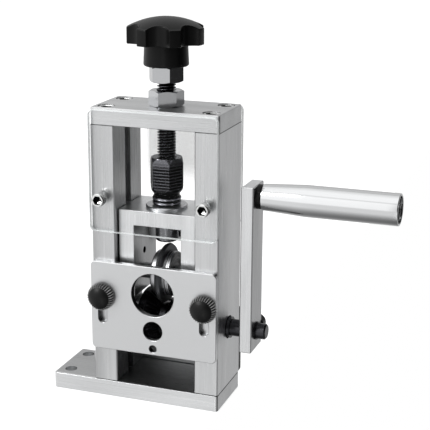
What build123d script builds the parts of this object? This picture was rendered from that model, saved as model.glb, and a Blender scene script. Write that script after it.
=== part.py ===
from build123d import *
import os
from math import cos, radians, sin

# Manual wire stripping machine: an upright aluminium frame, a hand crank that turns a
# grooved feed roller, and a cutting wheel in a block that a star knob raises and lowers.
# X points to the crank, Y to the rear, Z up. The origin is the middle of the upright
# frame, on the underside of the base. All sizes are in millimetres.

os.makedirs("parts", exist_ok=True)

# Frame
frame_width = 70.0
frame_depth = 36.0
base_thickness = 9.0
base_overhang = 25.0
column_width = 13.0
column_height = 140.0
top_plate_thickness = 9.0
edge_chamfer = 0.5
end_chamfer = 0.2
plate_corner_radius = 1.5
groove_width = 7.0
groove_depth = 4.5
mount_hole_diameter = 6.6
mount_hole_spacing = 22.0
mount_hole_inset = 7.0

# Socket screws of the frame, and the smaller ones of the guards and plates
frame_screw_diameter = 5.0
frame_screw_length = 16.0
frame_screw_head_diameter = 8.5
frame_screw_head_height = 5.0
frame_screw_inset = 6.5
counterbore_clearance = 0.25
head_recess = 0.4
small_screw_diameter = 4.0
small_screw_length = 10.0
small_screw_head_diameter = 7.0
small_screw_head_height = 4.0
drill_allowance = 1.0
socket_flats_share = 0.8
socket_depth_share = 0.6
head_bevel_share = 0.08

# Clear guards and low rear plate
guard_thickness = 3.0
guard_height = 64.0
guard_top_margin = 0.8
guard_corner_radius = 3.0
guard_chamfer = 0.3
guard_screw_height = 17.7
rear_plate_thickness = 3.0
rear_plate_height = 38.0
rear_plate_overlap = 1.0
rear_plate_corner_radius = 2.0

# Drive shaft and its bearings
shaft_height = 32.5
shaft_diameter = 10.0
shaft_neck_diameter = 9.0
shaft_end_diameter = 8.4
shaft_end_length = 5.8
shaft_end_chamfer = 0.8
shaft_collar_diameter = 11.4
shaft_collar_width = 1.3
shaft_hole_clearance = 1.2
shaft_bearing_diameter = 26.0
shaft_bearing_width = 8.0
bearing_seat_depth = 6.0
bearing_shield = 0.6
bearing_ring_share = 0.27
bearing_gap = 0.3
spacer_wall = 2.0

# Feed roller
roller_diameter = 33.0
roller_length = 24.0
roller_rim_width = 4.0
roller_groove_floor = 3.2
roller_groove_depth = 7.0
roller_chamfer = 0.6
roller_screw_diameter = 3.0
roller_side_gap = 1.0
set_screw_recess = 0.5

# Cutting wheel on its axle
nip_gap = 0.8
blade_diameter = 32.0
blade_thickness = 2.5
blade_edge_height = 0.7
flange_diameter = 24.0
flange_thickness = 4.15
flange_chamfer = 0.6
flange_screw_diameter = 2.5
flange_screw_head_diameter = 4.0
flange_screw_count = 3
axle_diameter = 6.0
axle_end_gap = 0.3
cutter_bearing_diameter = 15.0
cutter_bearing_width = 5.0
axle_spacer_wall = 1.2
axle_chamfer = 0.4
axle_screw_diameter = 4.0

# Slider block
slider_side_clearance = 0.5
slider_front_setback = 4.0
slider_rear_setback = 1.5
cutout_head_room = 12.5
bridge_thickness = 8.0
leg_drop = 10.6
slider_chamfer = 0.25
web_clearance = 0.3
tongue_clearance = 0.12
tongue_tip_clearance = 0.3
cross_hole_diameter = 3.7
cross_hole_depth = 6.0
cross_hole_height = 11.3
web_hole_diameter = 3.0
web_hole_spacing = 9.0
web_hole_height = 3.7

# Adjusting screw, coupling, nuts and star knob
rod_diameter = 10.0
rod_fit = 0.08
rod_end_chamfer = 0.8
tail_clearance = 2.2
washer_diameter = 22.0
washer_thickness = 1.5
washer_chamfer = 0.4
turning_gap = 0.3
seat_gap = 0.1
nut_across_flats = 16.0
nut_height = 8.0
nut_bevel_share = 0.58
lock_nut_angle = 25.0
knob_nut_angle = 2.5
coupling_angle = 0.0
coupling_neck_diameter = 15.0
coupling_neck_height = 7.0
coupling_ring_groove = 0.7
coupling_ring_shares = (0.3, 0.7)
coupling_taper_height = 2.5
coupling_hex_height = 15.5
coupling_bevel_height = 2.6
retaining_ring_thickness = 1.2
retaining_ring_wall = 1.7
retaining_groove_depth = 0.5
knob_lift = 20.4
knob_diameter = 40.0
knob_valley_diameter = 32.0
knob_scallop_radius = 7.2
knob_lobes = 7
knob_lobe_angle = -55.4
knob_lobe_rounding = 2.4
knob_tip_margin = 1.0
knob_hub_diameter = 23.3
knob_hub_top_diameter = 22.3
knob_hub_rounding = 1.2
knob_hub_height = 11.4
knob_lobe_height = 8.6
knob_dome_height = 4.9
knob_bore_depth = 16.0
knob_edge_radius = 0.8
knob_lower_edge_radius = 0.5

# Crank arm and handle
arm_gap = 8.6
arm_thickness = 6.6
arm_width = 18.0
arm_throw = 72.9
arm_top_margin = 6.4
arm_bottom_margin = 9.9
arm_screw_diameter = 5.0
arm_screw_head_diameter = 9.0
arm_screw_head_height = 5.0
arm_ring_width = 0.8
arm_ring_wall = 0.9
arm_ring_groove_depth = 0.3
handle_bolt_diameter = 8.0
handle_bolt_head_diameter = 12.0
handle_bolt_head_height = 5.0
handle_bolt_socket_flats = 6.0
handle_washer_diameter = 12.8
handle_washer_thickness = 2.4
handle_running_fit = 0.06
grip_length = 70.0
grip_start_diameter = 13.7
grip_diameter = 16.3
grip_taper_length = 22.0
bush_wall = 0.95
grip_recess_depth = 7.0
grip_recess_rim = 1.15
bush_length = 8.0

# Wire guide plate and thumb screws
guide_thickness = 3.0
guide_height = 48.5
guide_drop_below_shaft = 13.1
guide_corner_radius = 2.5
guide_chamfer = 0.3
large_wire_hole_diameter = 23.4
large_wire_hole_height = 20.0
medium_wire_hole_diameter = 10.5
medium_wire_hole_height = 0.2
small_wire_hole_diameter = 4.0
small_wire_hole_height = -9.7
slot_width = 4.8
guide_lift = 12.8
guide_lower_play = 0.8
thumb_height = 16.7
thumb_stud_diameter = 4.0
thumb_stud_depth = 9.0
thumb_stud_fit = 0.05
thumb_knob_diameter = 14.8
thumb_knob_length = 6.8
thumb_dome_height = 2.2
thumb_stud_grip = 3.5
thumb_stud_chamfer = 0.4

# Places that follow from the sizes above
half_width = frame_width / 2
half_depth = frame_depth / 2
column_x = half_width - column_width / 2
column_inner_x = half_width - column_width
column_top_z = base_thickness + column_height
frame_top_z = column_top_z + top_plate_thickness
frame_screw_y = half_depth - frame_screw_inset
counterbore_depth = frame_screw_head_height + head_recess
shaft_z = base_thickness + shaft_height
roller_radius = roller_diameter / 2
roller_groove_width = roller_length - 2 * roller_rim_width
cutout_width = roller_length + 2 * roller_side_gap
blade_radius = blade_diameter / 2
cutter_z = shaft_z + roller_radius - roller_groove_depth + nip_gap + blade_radius
bridge_bottom_z = cutter_z + blade_radius + cutout_head_room
slider_top_z = bridge_bottom_z + bridge_thickness
slider_bottom_z = cutter_z - leg_drop
slider_half_width = column_inner_x - slider_side_clearance
slider_front_y = -half_depth + slider_front_setback
slider_rear_y = half_depth - slider_rear_setback
leg_x = (slider_half_width + cutout_width / 2) / 2
web_bottom_z = cutter_z + blade_radius + web_clearance
guard_top_z = frame_top_z - guard_top_margin
guard_bottom_z = guard_top_z - guard_height
guard_screw_z = guard_bottom_z + guard_screw_height
rear_plate_bottom_z = base_thickness - rear_plate_overlap
rear_plate_screw_z = rear_plate_bottom_z + rear_plate_height / 2
bearing_inner_x = column_inner_x + bearing_seat_depth - shaft_bearing_width
arm_inner_x = half_width + arm_gap
arm_outer_x = arm_inner_x + arm_thickness
handle_z = shaft_z + arm_throw
grip_start_x = arm_outer_x + handle_washer_thickness + turning_gap
grip_end_x = grip_start_x + grip_length
washer_top_z = slider_top_z + washer_thickness
coupling_bottom_z = washer_top_z + turning_gap
rod_bottom_z = cutter_z + blade_radius + tail_clearance
knob_bottom_z = frame_top_z + knob_lift
guide_bottom_z = shaft_z - guide_drop_below_shaft
guide_back_y = -half_depth - seat_gap
guide_front_y = guide_back_y - guide_thickness
thumb_z = shaft_z + thumb_height

rod_radius = rod_diameter / 2
retaining_ring_radius = rod_radius - retaining_groove_depth + retaining_ring_wall
web_front_y = retaining_ring_radius + web_clearance
small_screw_radius = small_screw_diameter / 2
frame_screw_radius = frame_screw_diameter / 2


def cap_screw(diameter, length, head_diameter, head_height):
    """A socket head screw: its head stands on the XY plane, its shank hangs below."""
    with BuildPart() as screw:
        with BuildSketch(Plane.XY):
            Circle(head_diameter / 2)
        extrude(amount=head_height)
        chamfer(screw.edges().group_by(Axis.Z)[-1], length=head_height * head_bevel_share)
        with BuildSketch(Plane.XY.offset(head_height)):
            RegularPolygon(diameter * socket_flats_share / 2, 6, major_radius=False)
        extrude(amount=-head_height * socket_depth_share, mode=Mode.SUBTRACT)
        with BuildSketch(Plane.XY):
            Circle(diameter / 2)
        extrude(amount=-length)
    return screw.part


def set_screw(diameter, length):
    """A headless screw that hangs below the XY plane, with its socket in the plane."""
    with BuildPart() as screw:
        with BuildSketch(Plane.XY):
            Circle(diameter / 2)
            RegularPolygon(diameter / 4, 6, major_radius=False, mode=Mode.SUBTRACT)
        extrude(amount=-length / 2)
        with BuildSketch(Plane.XY.offset(-length / 2)):
            Circle(diameter / 2)
        extrude(amount=-length / 2)
    return screw.part


def hex_nut(across_flats, height, bore, angle):
    """A nut on the XY plane with both rims turned to a 30 degree bevel."""
    corner = across_flats / 2 / cos(radians(30))
    bevel = (corner - across_flats / 2) * nut_bevel_share
    with BuildPart() as nut:
        with BuildSketch(Plane.XZ):
            with BuildLine():
                Polyline(
                    (bore / 2, 0),
                    (across_flats / 2, 0),
                    (corner, bevel),
                    (corner, height - bevel),
                    (across_flats / 2, height),
                    (bore / 2, height),
                    close=True,
                )
            make_face()
        revolve(axis=Axis.Z)
        with BuildSketch(Plane.XY):
            RegularPolygon(across_flats / 2, 6, major_radius=False, rotation=angle)
        extrude(amount=height, mode=Mode.INTERSECT)
    return nut.part


def sleeve_along_x(start_x, end_x, axis_z, inner_radius, outer_radius):
    """A plain ring or sleeve whose axis runs along X at the given height."""
    with BuildPart() as sleeve:
        with BuildSketch(Plane.YZ.offset(start_x)):
            with Locations((0, axis_z)):
                Circle(outer_radius)
                Circle(inner_radius, mode=Mode.SUBTRACT)
        extrude(amount=end_x - start_x)
    return sleeve.part


def bearing_rings(start_x, width, axis_z, bore, outer):
    """Inner ring, and outer ring with its two shields, of a shielded ball bearing."""
    ring_wall = (outer - bore) / 2 * bearing_ring_share
    inner_ring_radius = bore / 2 + ring_wall
    shield_radius = inner_ring_radius + bearing_gap
    race_radius = outer / 2 - ring_wall
    inner_ring = sleeve_along_x(start_x, start_x + width, axis_z, bore / 2, inner_ring_radius)
    with BuildPart() as outer_ring:
        with BuildSketch(Plane.YZ.offset(start_x)):
            with Locations((0, axis_z)):
                Circle(outer / 2)
                Circle(shield_radius, mode=Mode.SUBTRACT)
        extrude(amount=width)
        with BuildSketch(Plane.YZ.offset(start_x + bearing_shield)):
            with Locations((0, axis_z)):
                Circle(race_radius)
        extrude(amount=width - 2 * bearing_shield, mode=Mode.SUBTRACT)
    return inner_ring, outer_ring.part


def column(side):
    """One upright of the frame: side is -1 for the left one and 1 for the right one."""
    with BuildPart() as upright:
        with BuildSketch(Plane.XY.offset(base_thickness)):
            with Locations((side * column_x, 0)):
                Rectangle(column_width, frame_depth)
            with Locations((side * (column_inner_x + groove_depth / 2), 0)):
                Rectangle(groove_depth, groove_width, mode=Mode.SUBTRACT)
        extrude(amount=column_height)
        long_edges = upright.edges().filter_by(Axis.Z).group_by(Axis.Y)
        chamfer(long_edges[0] + long_edges[-1], length=edge_chamfer)
        end_edges = upright.edges().group_by(Axis.Z)
        chamfer(end_edges[0] + end_edges[-1], length=end_chamfer)

        # Seat of the shaft bearing, open to the inside
        with BuildSketch(Plane.YZ.offset(side * column_inner_x)):
            with Locations((0, shaft_z)):
                Circle(shaft_bearing_diameter / 2)
        extrude(amount=side * bearing_seat_depth, mode=Mode.SUBTRACT)
        if side > 0:
            with BuildSketch(Plane.YZ.offset(column_inner_x)):
                with Locations((0, shaft_z)):
                    Circle(shaft_diameter / 2 + shaft_hole_clearance)
            extrude(amount=column_width, mode=Mode.SUBTRACT)

        # Screw holes in both ends
        screw_reach = frame_screw_length + drill_allowance
        top_reach = screw_reach - (top_plate_thickness - counterbore_depth)
        bottom_reach = screw_reach - (base_thickness - counterbore_depth)
        for end_z, reach in ((column_top_z, -top_reach), (base_thickness, bottom_reach)):
            with BuildSketch(Plane.XY.offset(end_z)):
                with Locations(*[(side * column_x, y) for y in (-frame_screw_y, frame_screw_y)]):
                    Circle(frame_screw_radius)
            extrude(amount=reach, mode=Mode.SUBTRACT)

        # Screw holes in the front face, then in the rear face
        guard_reach = small_screw_length - guard_thickness + drill_allowance
        with BuildSketch(Plane.XZ.offset(half_depth)):
            with Locations((side * column_x, guard_screw_z)):
                Circle(small_screw_radius)
        extrude(amount=-guard_reach, mode=Mode.SUBTRACT)
        with BuildSketch(Plane.XZ.offset(half_depth)):
            with Locations((side * column_x, thumb_z)):
                Circle(thumb_stud_diameter / 2 + thumb_stud_fit)
        extrude(amount=-(thumb_stud_depth + drill_allowance), mode=Mode.SUBTRACT)
        rear_reach = small_screw_length - rear_plate_thickness + drill_allowance
        for screw_z, reach in ((guard_screw_z, guard_reach), (rear_plate_screw_z, rear_reach)):
            with BuildSketch(Plane.XZ.offset(-half_depth)):
                with Locations((side * column_x, screw_z)):
                    Circle(small_screw_radius)
            extrude(amount=reach, mode=Mode.SUBTRACT)
    return upright


# Base plate
base_left_x = -half_width - base_overhang
mount_hole_x = base_left_x + mount_hole_inset
frame_screw_places = [(x, y) for x in (-column_x, column_x) for y in (-frame_screw_y, frame_screw_y)]
with BuildPart() as base_plate:
    with BuildSketch(Plane.XY):
        with Locations(((base_left_x + half_width) / 2, 0)):
            RectangleRounded(frame_width + base_overhang, frame_depth, plate_corner_radius)
    extrude(amount=base_thickness)
    chamfer(base_plate.edges().group_by(Axis.Z)[-1], length=edge_chamfer)
    chamfer(base_plate.edges().group_by(Axis.Z)[0], length=end_chamfer)
    with BuildSketch(Plane.XY):
        with Locations((mount_hole_x, 0)):
            with GridLocations(0, mount_hole_spacing, 1, 2):
                Circle(mount_hole_diameter / 2)
        with Locations(*frame_screw_places):
            Circle(frame_screw_radius)
    extrude(amount=base_thickness, mode=Mode.SUBTRACT)
    with BuildSketch(Plane.XY):
        with Locations(*frame_screw_places):
            Circle(frame_screw_head_diameter / 2 + counterbore_clearance)
    extrude(amount=counterbore_depth, mode=Mode.SUBTRACT)
    mount_rims = base_plate.edges().filter_by(GeomType.CIRCLE).group_by(Axis.Z)[-1]
    chamfer(mount_rims.group_by(Axis.X)[0], length=edge_chamfer)
base_plate.part.label = "base_plate"
export_step(base_plate.part, "parts/base_plate.step")

with BuildPart() as base_screws:
    with Locations(*[Plane((x, y, counterbore_depth), z_dir=(0, 0, -1)) for x, y in frame_screw_places]):
        add(cap_screw(frame_screw_diameter, frame_screw_length,
                      frame_screw_head_diameter, frame_screw_head_height))
base_screws.part.label = "base_screws"
export_step(base_screws.part, "parts/base_screws.step")

# Columns
column_left = column(-1)
column_left.part.label = "column_left"
export_step(column_left.part, "parts/column_left.step")

column_right = column(1)
column_right.part.label = "column_right"
export_step(column_right.part, "parts/column_right.step")

# Top plate with the threaded hole of the adjusting screw
with BuildPart() as top_plate:
    with BuildSketch(Plane.XY.offset(column_top_z)):
        RectangleRounded(frame_width, frame_depth, plate_corner_radius)
    extrude(amount=top_plate_thickness)
    chamfer(top_plate.edges().group_by(Axis.Z)[-1], length=edge_chamfer)
    chamfer(top_plate.edges().group_by(Axis.Z)[0], length=end_chamfer)
    with BuildSketch(Plane.XY.offset(column_top_z)):
        Circle(rod_radius + rod_fit)
        with Locations(*frame_screw_places):
            Circle(frame_screw_radius)
    extrude(amount=top_plate_thickness, mode=Mode.SUBTRACT)
    with BuildSketch(Plane.XY.offset(frame_top_z)):
        with Locations(*frame_screw_places):
            Circle(frame_screw_head_diameter / 2 + counterbore_clearance)
    extrude(amount=-counterbore_depth, mode=Mode.SUBTRACT)
top_plate.part.label = "top_plate"
export_step(top_plate.part, "parts/top_plate.step")

with BuildPart() as top_plate_screws:
    with Locations(*[(x, y, frame_top_z - counterbore_depth) for x, y in frame_screw_places]):
        add(cap_screw(frame_screw_diameter, frame_screw_length,
                      frame_screw_head_diameter, frame_screw_head_height))
top_plate_screws.part.label = "top_plate_screws"
export_step(top_plate_screws.part, "parts/top_plate_screws.step")

# Clear guards and the low rear plate
guard_mid_z = (guard_bottom_z + guard_top_z) / 2
guard_screw_places = [(x, guard_screw_z) for x in (-column_x, column_x)]
with BuildPart() as front_guard:
    with BuildSketch(Plane.XZ.offset(half_depth)):
        with Locations((0, guard_mid_z)):
            RectangleRounded(frame_width, guard_height, guard_corner_radius)
        with Locations(*guard_screw_places):
            Circle(small_screw_radius, mode=Mode.SUBTRACT)
    extrude(amount=guard_thickness)
    chamfer(front_guard.faces().sort_by(Axis.Y)[0].outer_wire().edges(), length=guard_chamfer)
front_guard.part.label = "front_guard"
export_step(front_guard.part, "parts/front_guard.step")

with BuildPart() as rear_guard:
    with BuildSketch(Plane.XZ.offset(-half_depth)):
        with Locations((0, guard_mid_z)):
            RectangleRounded(frame_width, guard_height, guard_corner_radius)
        with Locations(*guard_screw_places):
            Circle(small_screw_radius, mode=Mode.SUBTRACT)
    extrude(amount=-guard_thickness)
    chamfer(rear_guard.faces().sort_by(Axis.Y)[-1].outer_wire().edges(), length=guard_chamfer)
rear_guard.part.label = "rear_guard"
export_step(rear_guard.part, "parts/rear_guard.step")

front_head_y = -half_depth - guard_thickness
with BuildPart() as front_guard_screws:
    with Locations(*[Plane((x, front_head_y, z), z_dir=(0, -1, 0)) for x, z in guard_screw_places]):
        add(cap_screw(small_screw_diameter, small_screw_length,
                      small_screw_head_diameter, small_screw_head_height))
front_guard_screws.part.label = "front_guard_screws"
export_step(front_guard_screws.part, "parts/front_guard_screws.step")

rear_head_y = half_depth + guard_thickness
with BuildPart() as rear_guard_screws:
    with Locations(*[Plane((x, rear_head_y, z), z_dir=(0, 1, 0)) for x, z in guard_screw_places]):
        add(cap_screw(small_screw_diameter, small_screw_length,
                      small_screw_head_diameter, small_screw_head_height))
rear_guard_screws.part.label = "rear_guard_screws"
export_step(rear_guard_screws.part, "parts/rear_guard_screws.step")

rear_plate_screw_places = [(x, rear_plate_screw_z) for x in (-column_x, column_x)]
with BuildPart() as rear_plate:
    with BuildSketch(Plane.XZ.offset(-half_depth)):
        with Locations((0, rear_plate_screw_z)):
            RectangleRounded(frame_width, rear_plate_height, rear_plate_corner_radius)
        with Locations(*rear_plate_screw_places):
            Circle(small_screw_radius, mode=Mode.SUBTRACT)
    extrude(amount=-rear_plate_thickness)
rear_plate.part.label = "rear_plate"
export_step(rear_plate.part, "parts/rear_plate.step")

rear_plate_head_y = half_depth + rear_plate_thickness
with BuildPart() as rear_plate_screws:
    with Locations(*[Plane((x, rear_plate_head_y, z), z_dir=(0, 1, 0)) for x, z in rear_plate_screw_places]):
        add(cap_screw(small_screw_diameter, small_screw_length,
                      small_screw_head_diameter, small_screw_head_height))
rear_plate_screws.part.label = "rear_plate_screws"
export_step(rear_plate_screws.part, "parts/rear_plate_screws.step")

# Shaft bearings: the outer rings stand in the columns, the inner rings turn with the shaft
shaft_left_x = -bearing_inner_x - shaft_bearing_width
left_inner_ring, left_outer_ring = bearing_rings(
    shaft_left_x, shaft_bearing_width, shaft_z, shaft_diameter, shaft_bearing_diameter
)
right_inner_ring, right_outer_ring = bearing_rings(
    bearing_inner_x, shaft_bearing_width, shaft_z, shaft_diameter, shaft_bearing_diameter
)
for name, ring in (
    ("shaft_bearing_outer_left", left_outer_ring),
    ("shaft_bearing_outer_right", right_outer_ring),
    ("shaft_bearing_inner_left", left_inner_ring),
    ("shaft_bearing_inner_right", right_inner_ring),
):
    ring.label = name
    export_step(ring, f"parts/{name}.step")

# Drive shaft, turned from one bar: journal, collar, neck, seat of the arm, end for a drill
collar_start_x = half_width + bearing_gap
shaft_right_x = arm_outer_x + shaft_end_length
ring_groove_radius = shaft_end_diameter / 2 - arm_ring_groove_depth
with BuildPart() as drive_shaft:
    with BuildSketch(Plane.XZ):
        with BuildLine():
            Polyline(
                (shaft_left_x, shaft_z),
                (shaft_left_x, shaft_z + shaft_diameter / 2),
                (collar_start_x, shaft_z + shaft_diameter / 2),
                (collar_start_x, shaft_z + shaft_collar_diameter / 2),
                (collar_start_x + shaft_collar_width, shaft_z + shaft_collar_diameter / 2),
                (collar_start_x + shaft_collar_width, shaft_z + shaft_neck_diameter / 2),
                (arm_outer_x, shaft_z + shaft_neck_diameter / 2),
                (arm_outer_x, shaft_z + ring_groove_radius),
                (arm_outer_x + arm_ring_width, shaft_z + ring_groove_radius),
                (arm_outer_x + arm_ring_width, shaft_z + shaft_end_diameter / 2),
                (shaft_right_x - shaft_end_chamfer, shaft_z + shaft_end_diameter / 2),
                (shaft_right_x, shaft_z + shaft_end_diameter / 2 - shaft_end_chamfer),
                (shaft_right_x, shaft_z),
                close=True,
            )
        make_face()
    revolve(axis=Axis((0, 0, shaft_z), (1, 0, 0)))
drive_shaft.part.label = "drive_shaft"
export_step(drive_shaft.part, "parts/drive_shaft.step")

# Feed roller with its V groove, and the set screws in its two plain rims
roller_floor_radius = roller_radius - roller_groove_depth
roller_rim_x = (roller_length - roller_rim_width) / 2
roller_screw_length = roller_radius - shaft_diameter / 2 - set_screw_recess
with BuildPart() as feed_roller:
    with BuildSketch(Plane.XZ):
        with BuildLine():
            Polyline(
                (-roller_length / 2, shaft_z + shaft_diameter / 2),
                (-roller_length / 2, shaft_z + roller_radius - roller_chamfer),
                (-roller_length / 2 + roller_chamfer, shaft_z + roller_radius),
                (-roller_groove_width / 2, shaft_z + roller_radius),
                (-roller_groove_floor / 2, shaft_z + roller_floor_radius),
                (roller_groove_floor / 2, shaft_z + roller_floor_radius),
                (roller_groove_width / 2, shaft_z + roller_radius),
                (roller_length / 2 - roller_chamfer, shaft_z + roller_radius),
                (roller_length / 2, shaft_z + roller_radius - roller_chamfer),
                (roller_length / 2, shaft_z + shaft_diameter / 2),
                close=True,
            )
        make_face()
    revolve(axis=Axis((0, 0, shaft_z), (1, 0, 0)))
    with BuildSketch(Plane.XY.offset(shaft_z)):
        with Locations((-roller_rim_x, 0), (roller_rim_x, 0)):
            Circle(roller_screw_diameter / 2)
    extrude(amount=-roller_radius, mode=Mode.SUBTRACT)
feed_roller.part.label = "feed_roller"
export_step(feed_roller.part, "parts/feed_roller.step")

roller_screw_z = shaft_z - roller_radius + set_screw_recess
with BuildPart() as roller_set_screws:
    with Locations(*[Plane((x, 0, roller_screw_z), z_dir=(0, 0, -1)) for x in (-roller_rim_x, roller_rim_x)]):
        add(set_screw(roller_screw_diameter, roller_screw_length))
    with BuildSketch(Plane.YZ.offset(-roller_length / 2)):
        with Locations((0, shaft_z)):
            Circle(shaft_diameter / 2)
    extrude(amount=roller_length, mode=Mode.SUBTRACT)
roller_set_screws.part.label = "roller_set_screws"
export_step(roller_set_screws.part, "parts/roller_set_screws.step")

# Sleeves that keep the roller between the two bearings
for name, start_x, end_x in (
    ("shaft_spacer_left", -bearing_inner_x, -roller_length / 2),
    ("shaft_spacer_right", roller_length / 2, bearing_inner_x),
):
    spacer = sleeve_along_x(start_x, end_x, shaft_z, shaft_diameter / 2, shaft_diameter / 2 + spacer_wall)
    spacer.label = name
    export_step(spacer, f"parts/{name}.step")

# Cutting wheel: a disc with a ridged edge between two flanges, on two bearings
flange_outer_x = blade_thickness / 2 + flange_thickness
flange_screw_radius = (flange_diameter + cutter_bearing_diameter) / 4
with BuildPart() as cutter_blade:
    with BuildSketch(Plane.XZ):
        with BuildLine():
            Polyline(
                (-blade_thickness / 2, cutter_z + cutter_bearing_diameter / 2),
                (-blade_thickness / 2, cutter_z + blade_radius - blade_edge_height),
                (0, cutter_z + blade_radius),
                (blade_thickness / 2, cutter_z + blade_radius - blade_edge_height),
                (blade_thickness / 2, cutter_z + cutter_bearing_diameter / 2),
                close=True,
            )
        make_face()
    revolve(axis=Axis((0, 0, cutter_z), (1, 0, 0)))
    with BuildSketch(Plane.YZ.offset(-blade_thickness / 2)):
        with Locations((0, cutter_z)):
            with PolarLocations(flange_screw_radius, flange_screw_count, start_angle=90):
                Circle(flange_screw_diameter / 2)
    extrude(amount=blade_thickness, mode=Mode.SUBTRACT)
cutter_blade.part.label = "cutter_blade"
export_step(cutter_blade.part, "parts/cutter_blade.step")

flange_screw_head_height = (flange_screw_head_diameter - flange_screw_diameter) / 2
for name, side, outer_end in (("cutter_flange_left", -1, 0), ("cutter_flange_right", 1, -1)):
    with BuildPart() as flange:
        with BuildSketch(Plane.YZ.offset(side * blade_thickness / 2)):
            with Locations((0, cutter_z)):
                Circle(flange_diameter / 2)
        extrude(amount=side * flange_thickness)
        chamfer(flange.edges().group_by(Axis.X)[outer_end], length=flange_chamfer)
        with BuildSketch(Plane.YZ.offset(side * blade_thickness / 2)):
            with Locations((0, cutter_z)):
                Circle(cutter_bearing_diameter / 2)
                with PolarLocations(flange_screw_radius, flange_screw_count, start_angle=90):
                    Circle(flange_screw_diameter / 2)
        extrude(amount=side * flange_thickness, mode=Mode.SUBTRACT)
        if side > 0:
            with BuildSketch(Plane.YZ.offset(flange_outer_x)):
                with Locations((0, cutter_z)):
                    with PolarLocations(flange_screw_radius, flange_screw_count, start_angle=90):
                        Circle(flange_screw_head_diameter / 2)
            extrude(amount=-flange_screw_head_height, mode=Mode.SUBTRACT)
    flange.part.label = name
    export_step(flange.part, f"parts/{name}.step")

with BuildPart() as flange_screws:
    with BuildSketch(Plane.YZ.offset(flange_outer_x)):
        with Locations((0, cutter_z)):
            with PolarLocations(flange_screw_radius, flange_screw_count, start_angle=90):
                Circle(flange_screw_head_diameter / 2)
    extrude(amount=-flange_screw_head_height)
    with BuildSketch(Plane.YZ.offset(-flange_outer_x)):
        with Locations((0, cutter_z)):
            with PolarLocations(flange_screw_radius, flange_screw_count, start_angle=90):
                Circle(flange_screw_diameter / 2)
    extrude(amount=2 * flange_outer_x - flange_screw_head_height)
flange_screws.part.label = "flange_screws"
export_step(flange_screws.part, "parts/flange_screws.step")

# Bearings of the cutting wheel, side by side in its bore
cutter_rings = [
    bearing_rings(x, cutter_bearing_width, cutter_z, axle_diameter, cutter_bearing_diameter)
    for x in (-cutter_bearing_width, 0)
]
with BuildPart() as cutter_bearing_outer_rings:
    for inner_ring, outer_ring in cutter_rings:
        add(outer_ring)
cutter_bearing_outer_rings.part.label = "cutter_bearing_outer_rings"
export_step(cutter_bearing_outer_rings.part, "parts/cutter_bearing_outer_rings.step")

with BuildPart() as cutter_bearing_inner_rings:
    for inner_ring, outer_ring in cutter_rings:
        add(inner_ring)
cutter_bearing_inner_rings.part.label = "cutter_bearing_inner_rings"
export_step(cutter_bearing_inner_rings.part, "parts/cutter_bearing_inner_rings.step")

# Axle and its spacers, held in the legs of the slider
with BuildPart() as cutter_axle:
    with BuildSketch(Plane.YZ.offset(-slider_half_width + axle_end_gap)):
        with Locations((0, cutter_z)):
            Circle(axle_diameter / 2)
    extrude(amount=2 * (slider_half_width - axle_end_gap))
    chamfer(cutter_axle.edges().filter_by(GeomType.CIRCLE), length=axle_chamfer)
cutter_axle.part.label = "cutter_axle"
export_step(cutter_axle.part, "parts/cutter_axle.step")

for name, start_x, end_x in (
    ("axle_spacer_left", -cutout_width / 2, -cutter_bearing_width),
    ("axle_spacer_right", cutter_bearing_width, cutout_width / 2),
):
    spacer = sleeve_along_x(start_x, end_x, cutter_z, axle_diameter / 2, axle_diameter / 2 + axle_spacer_wall)
    spacer.label = name
    export_step(spacer, f"parts/{name}.step")

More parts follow.
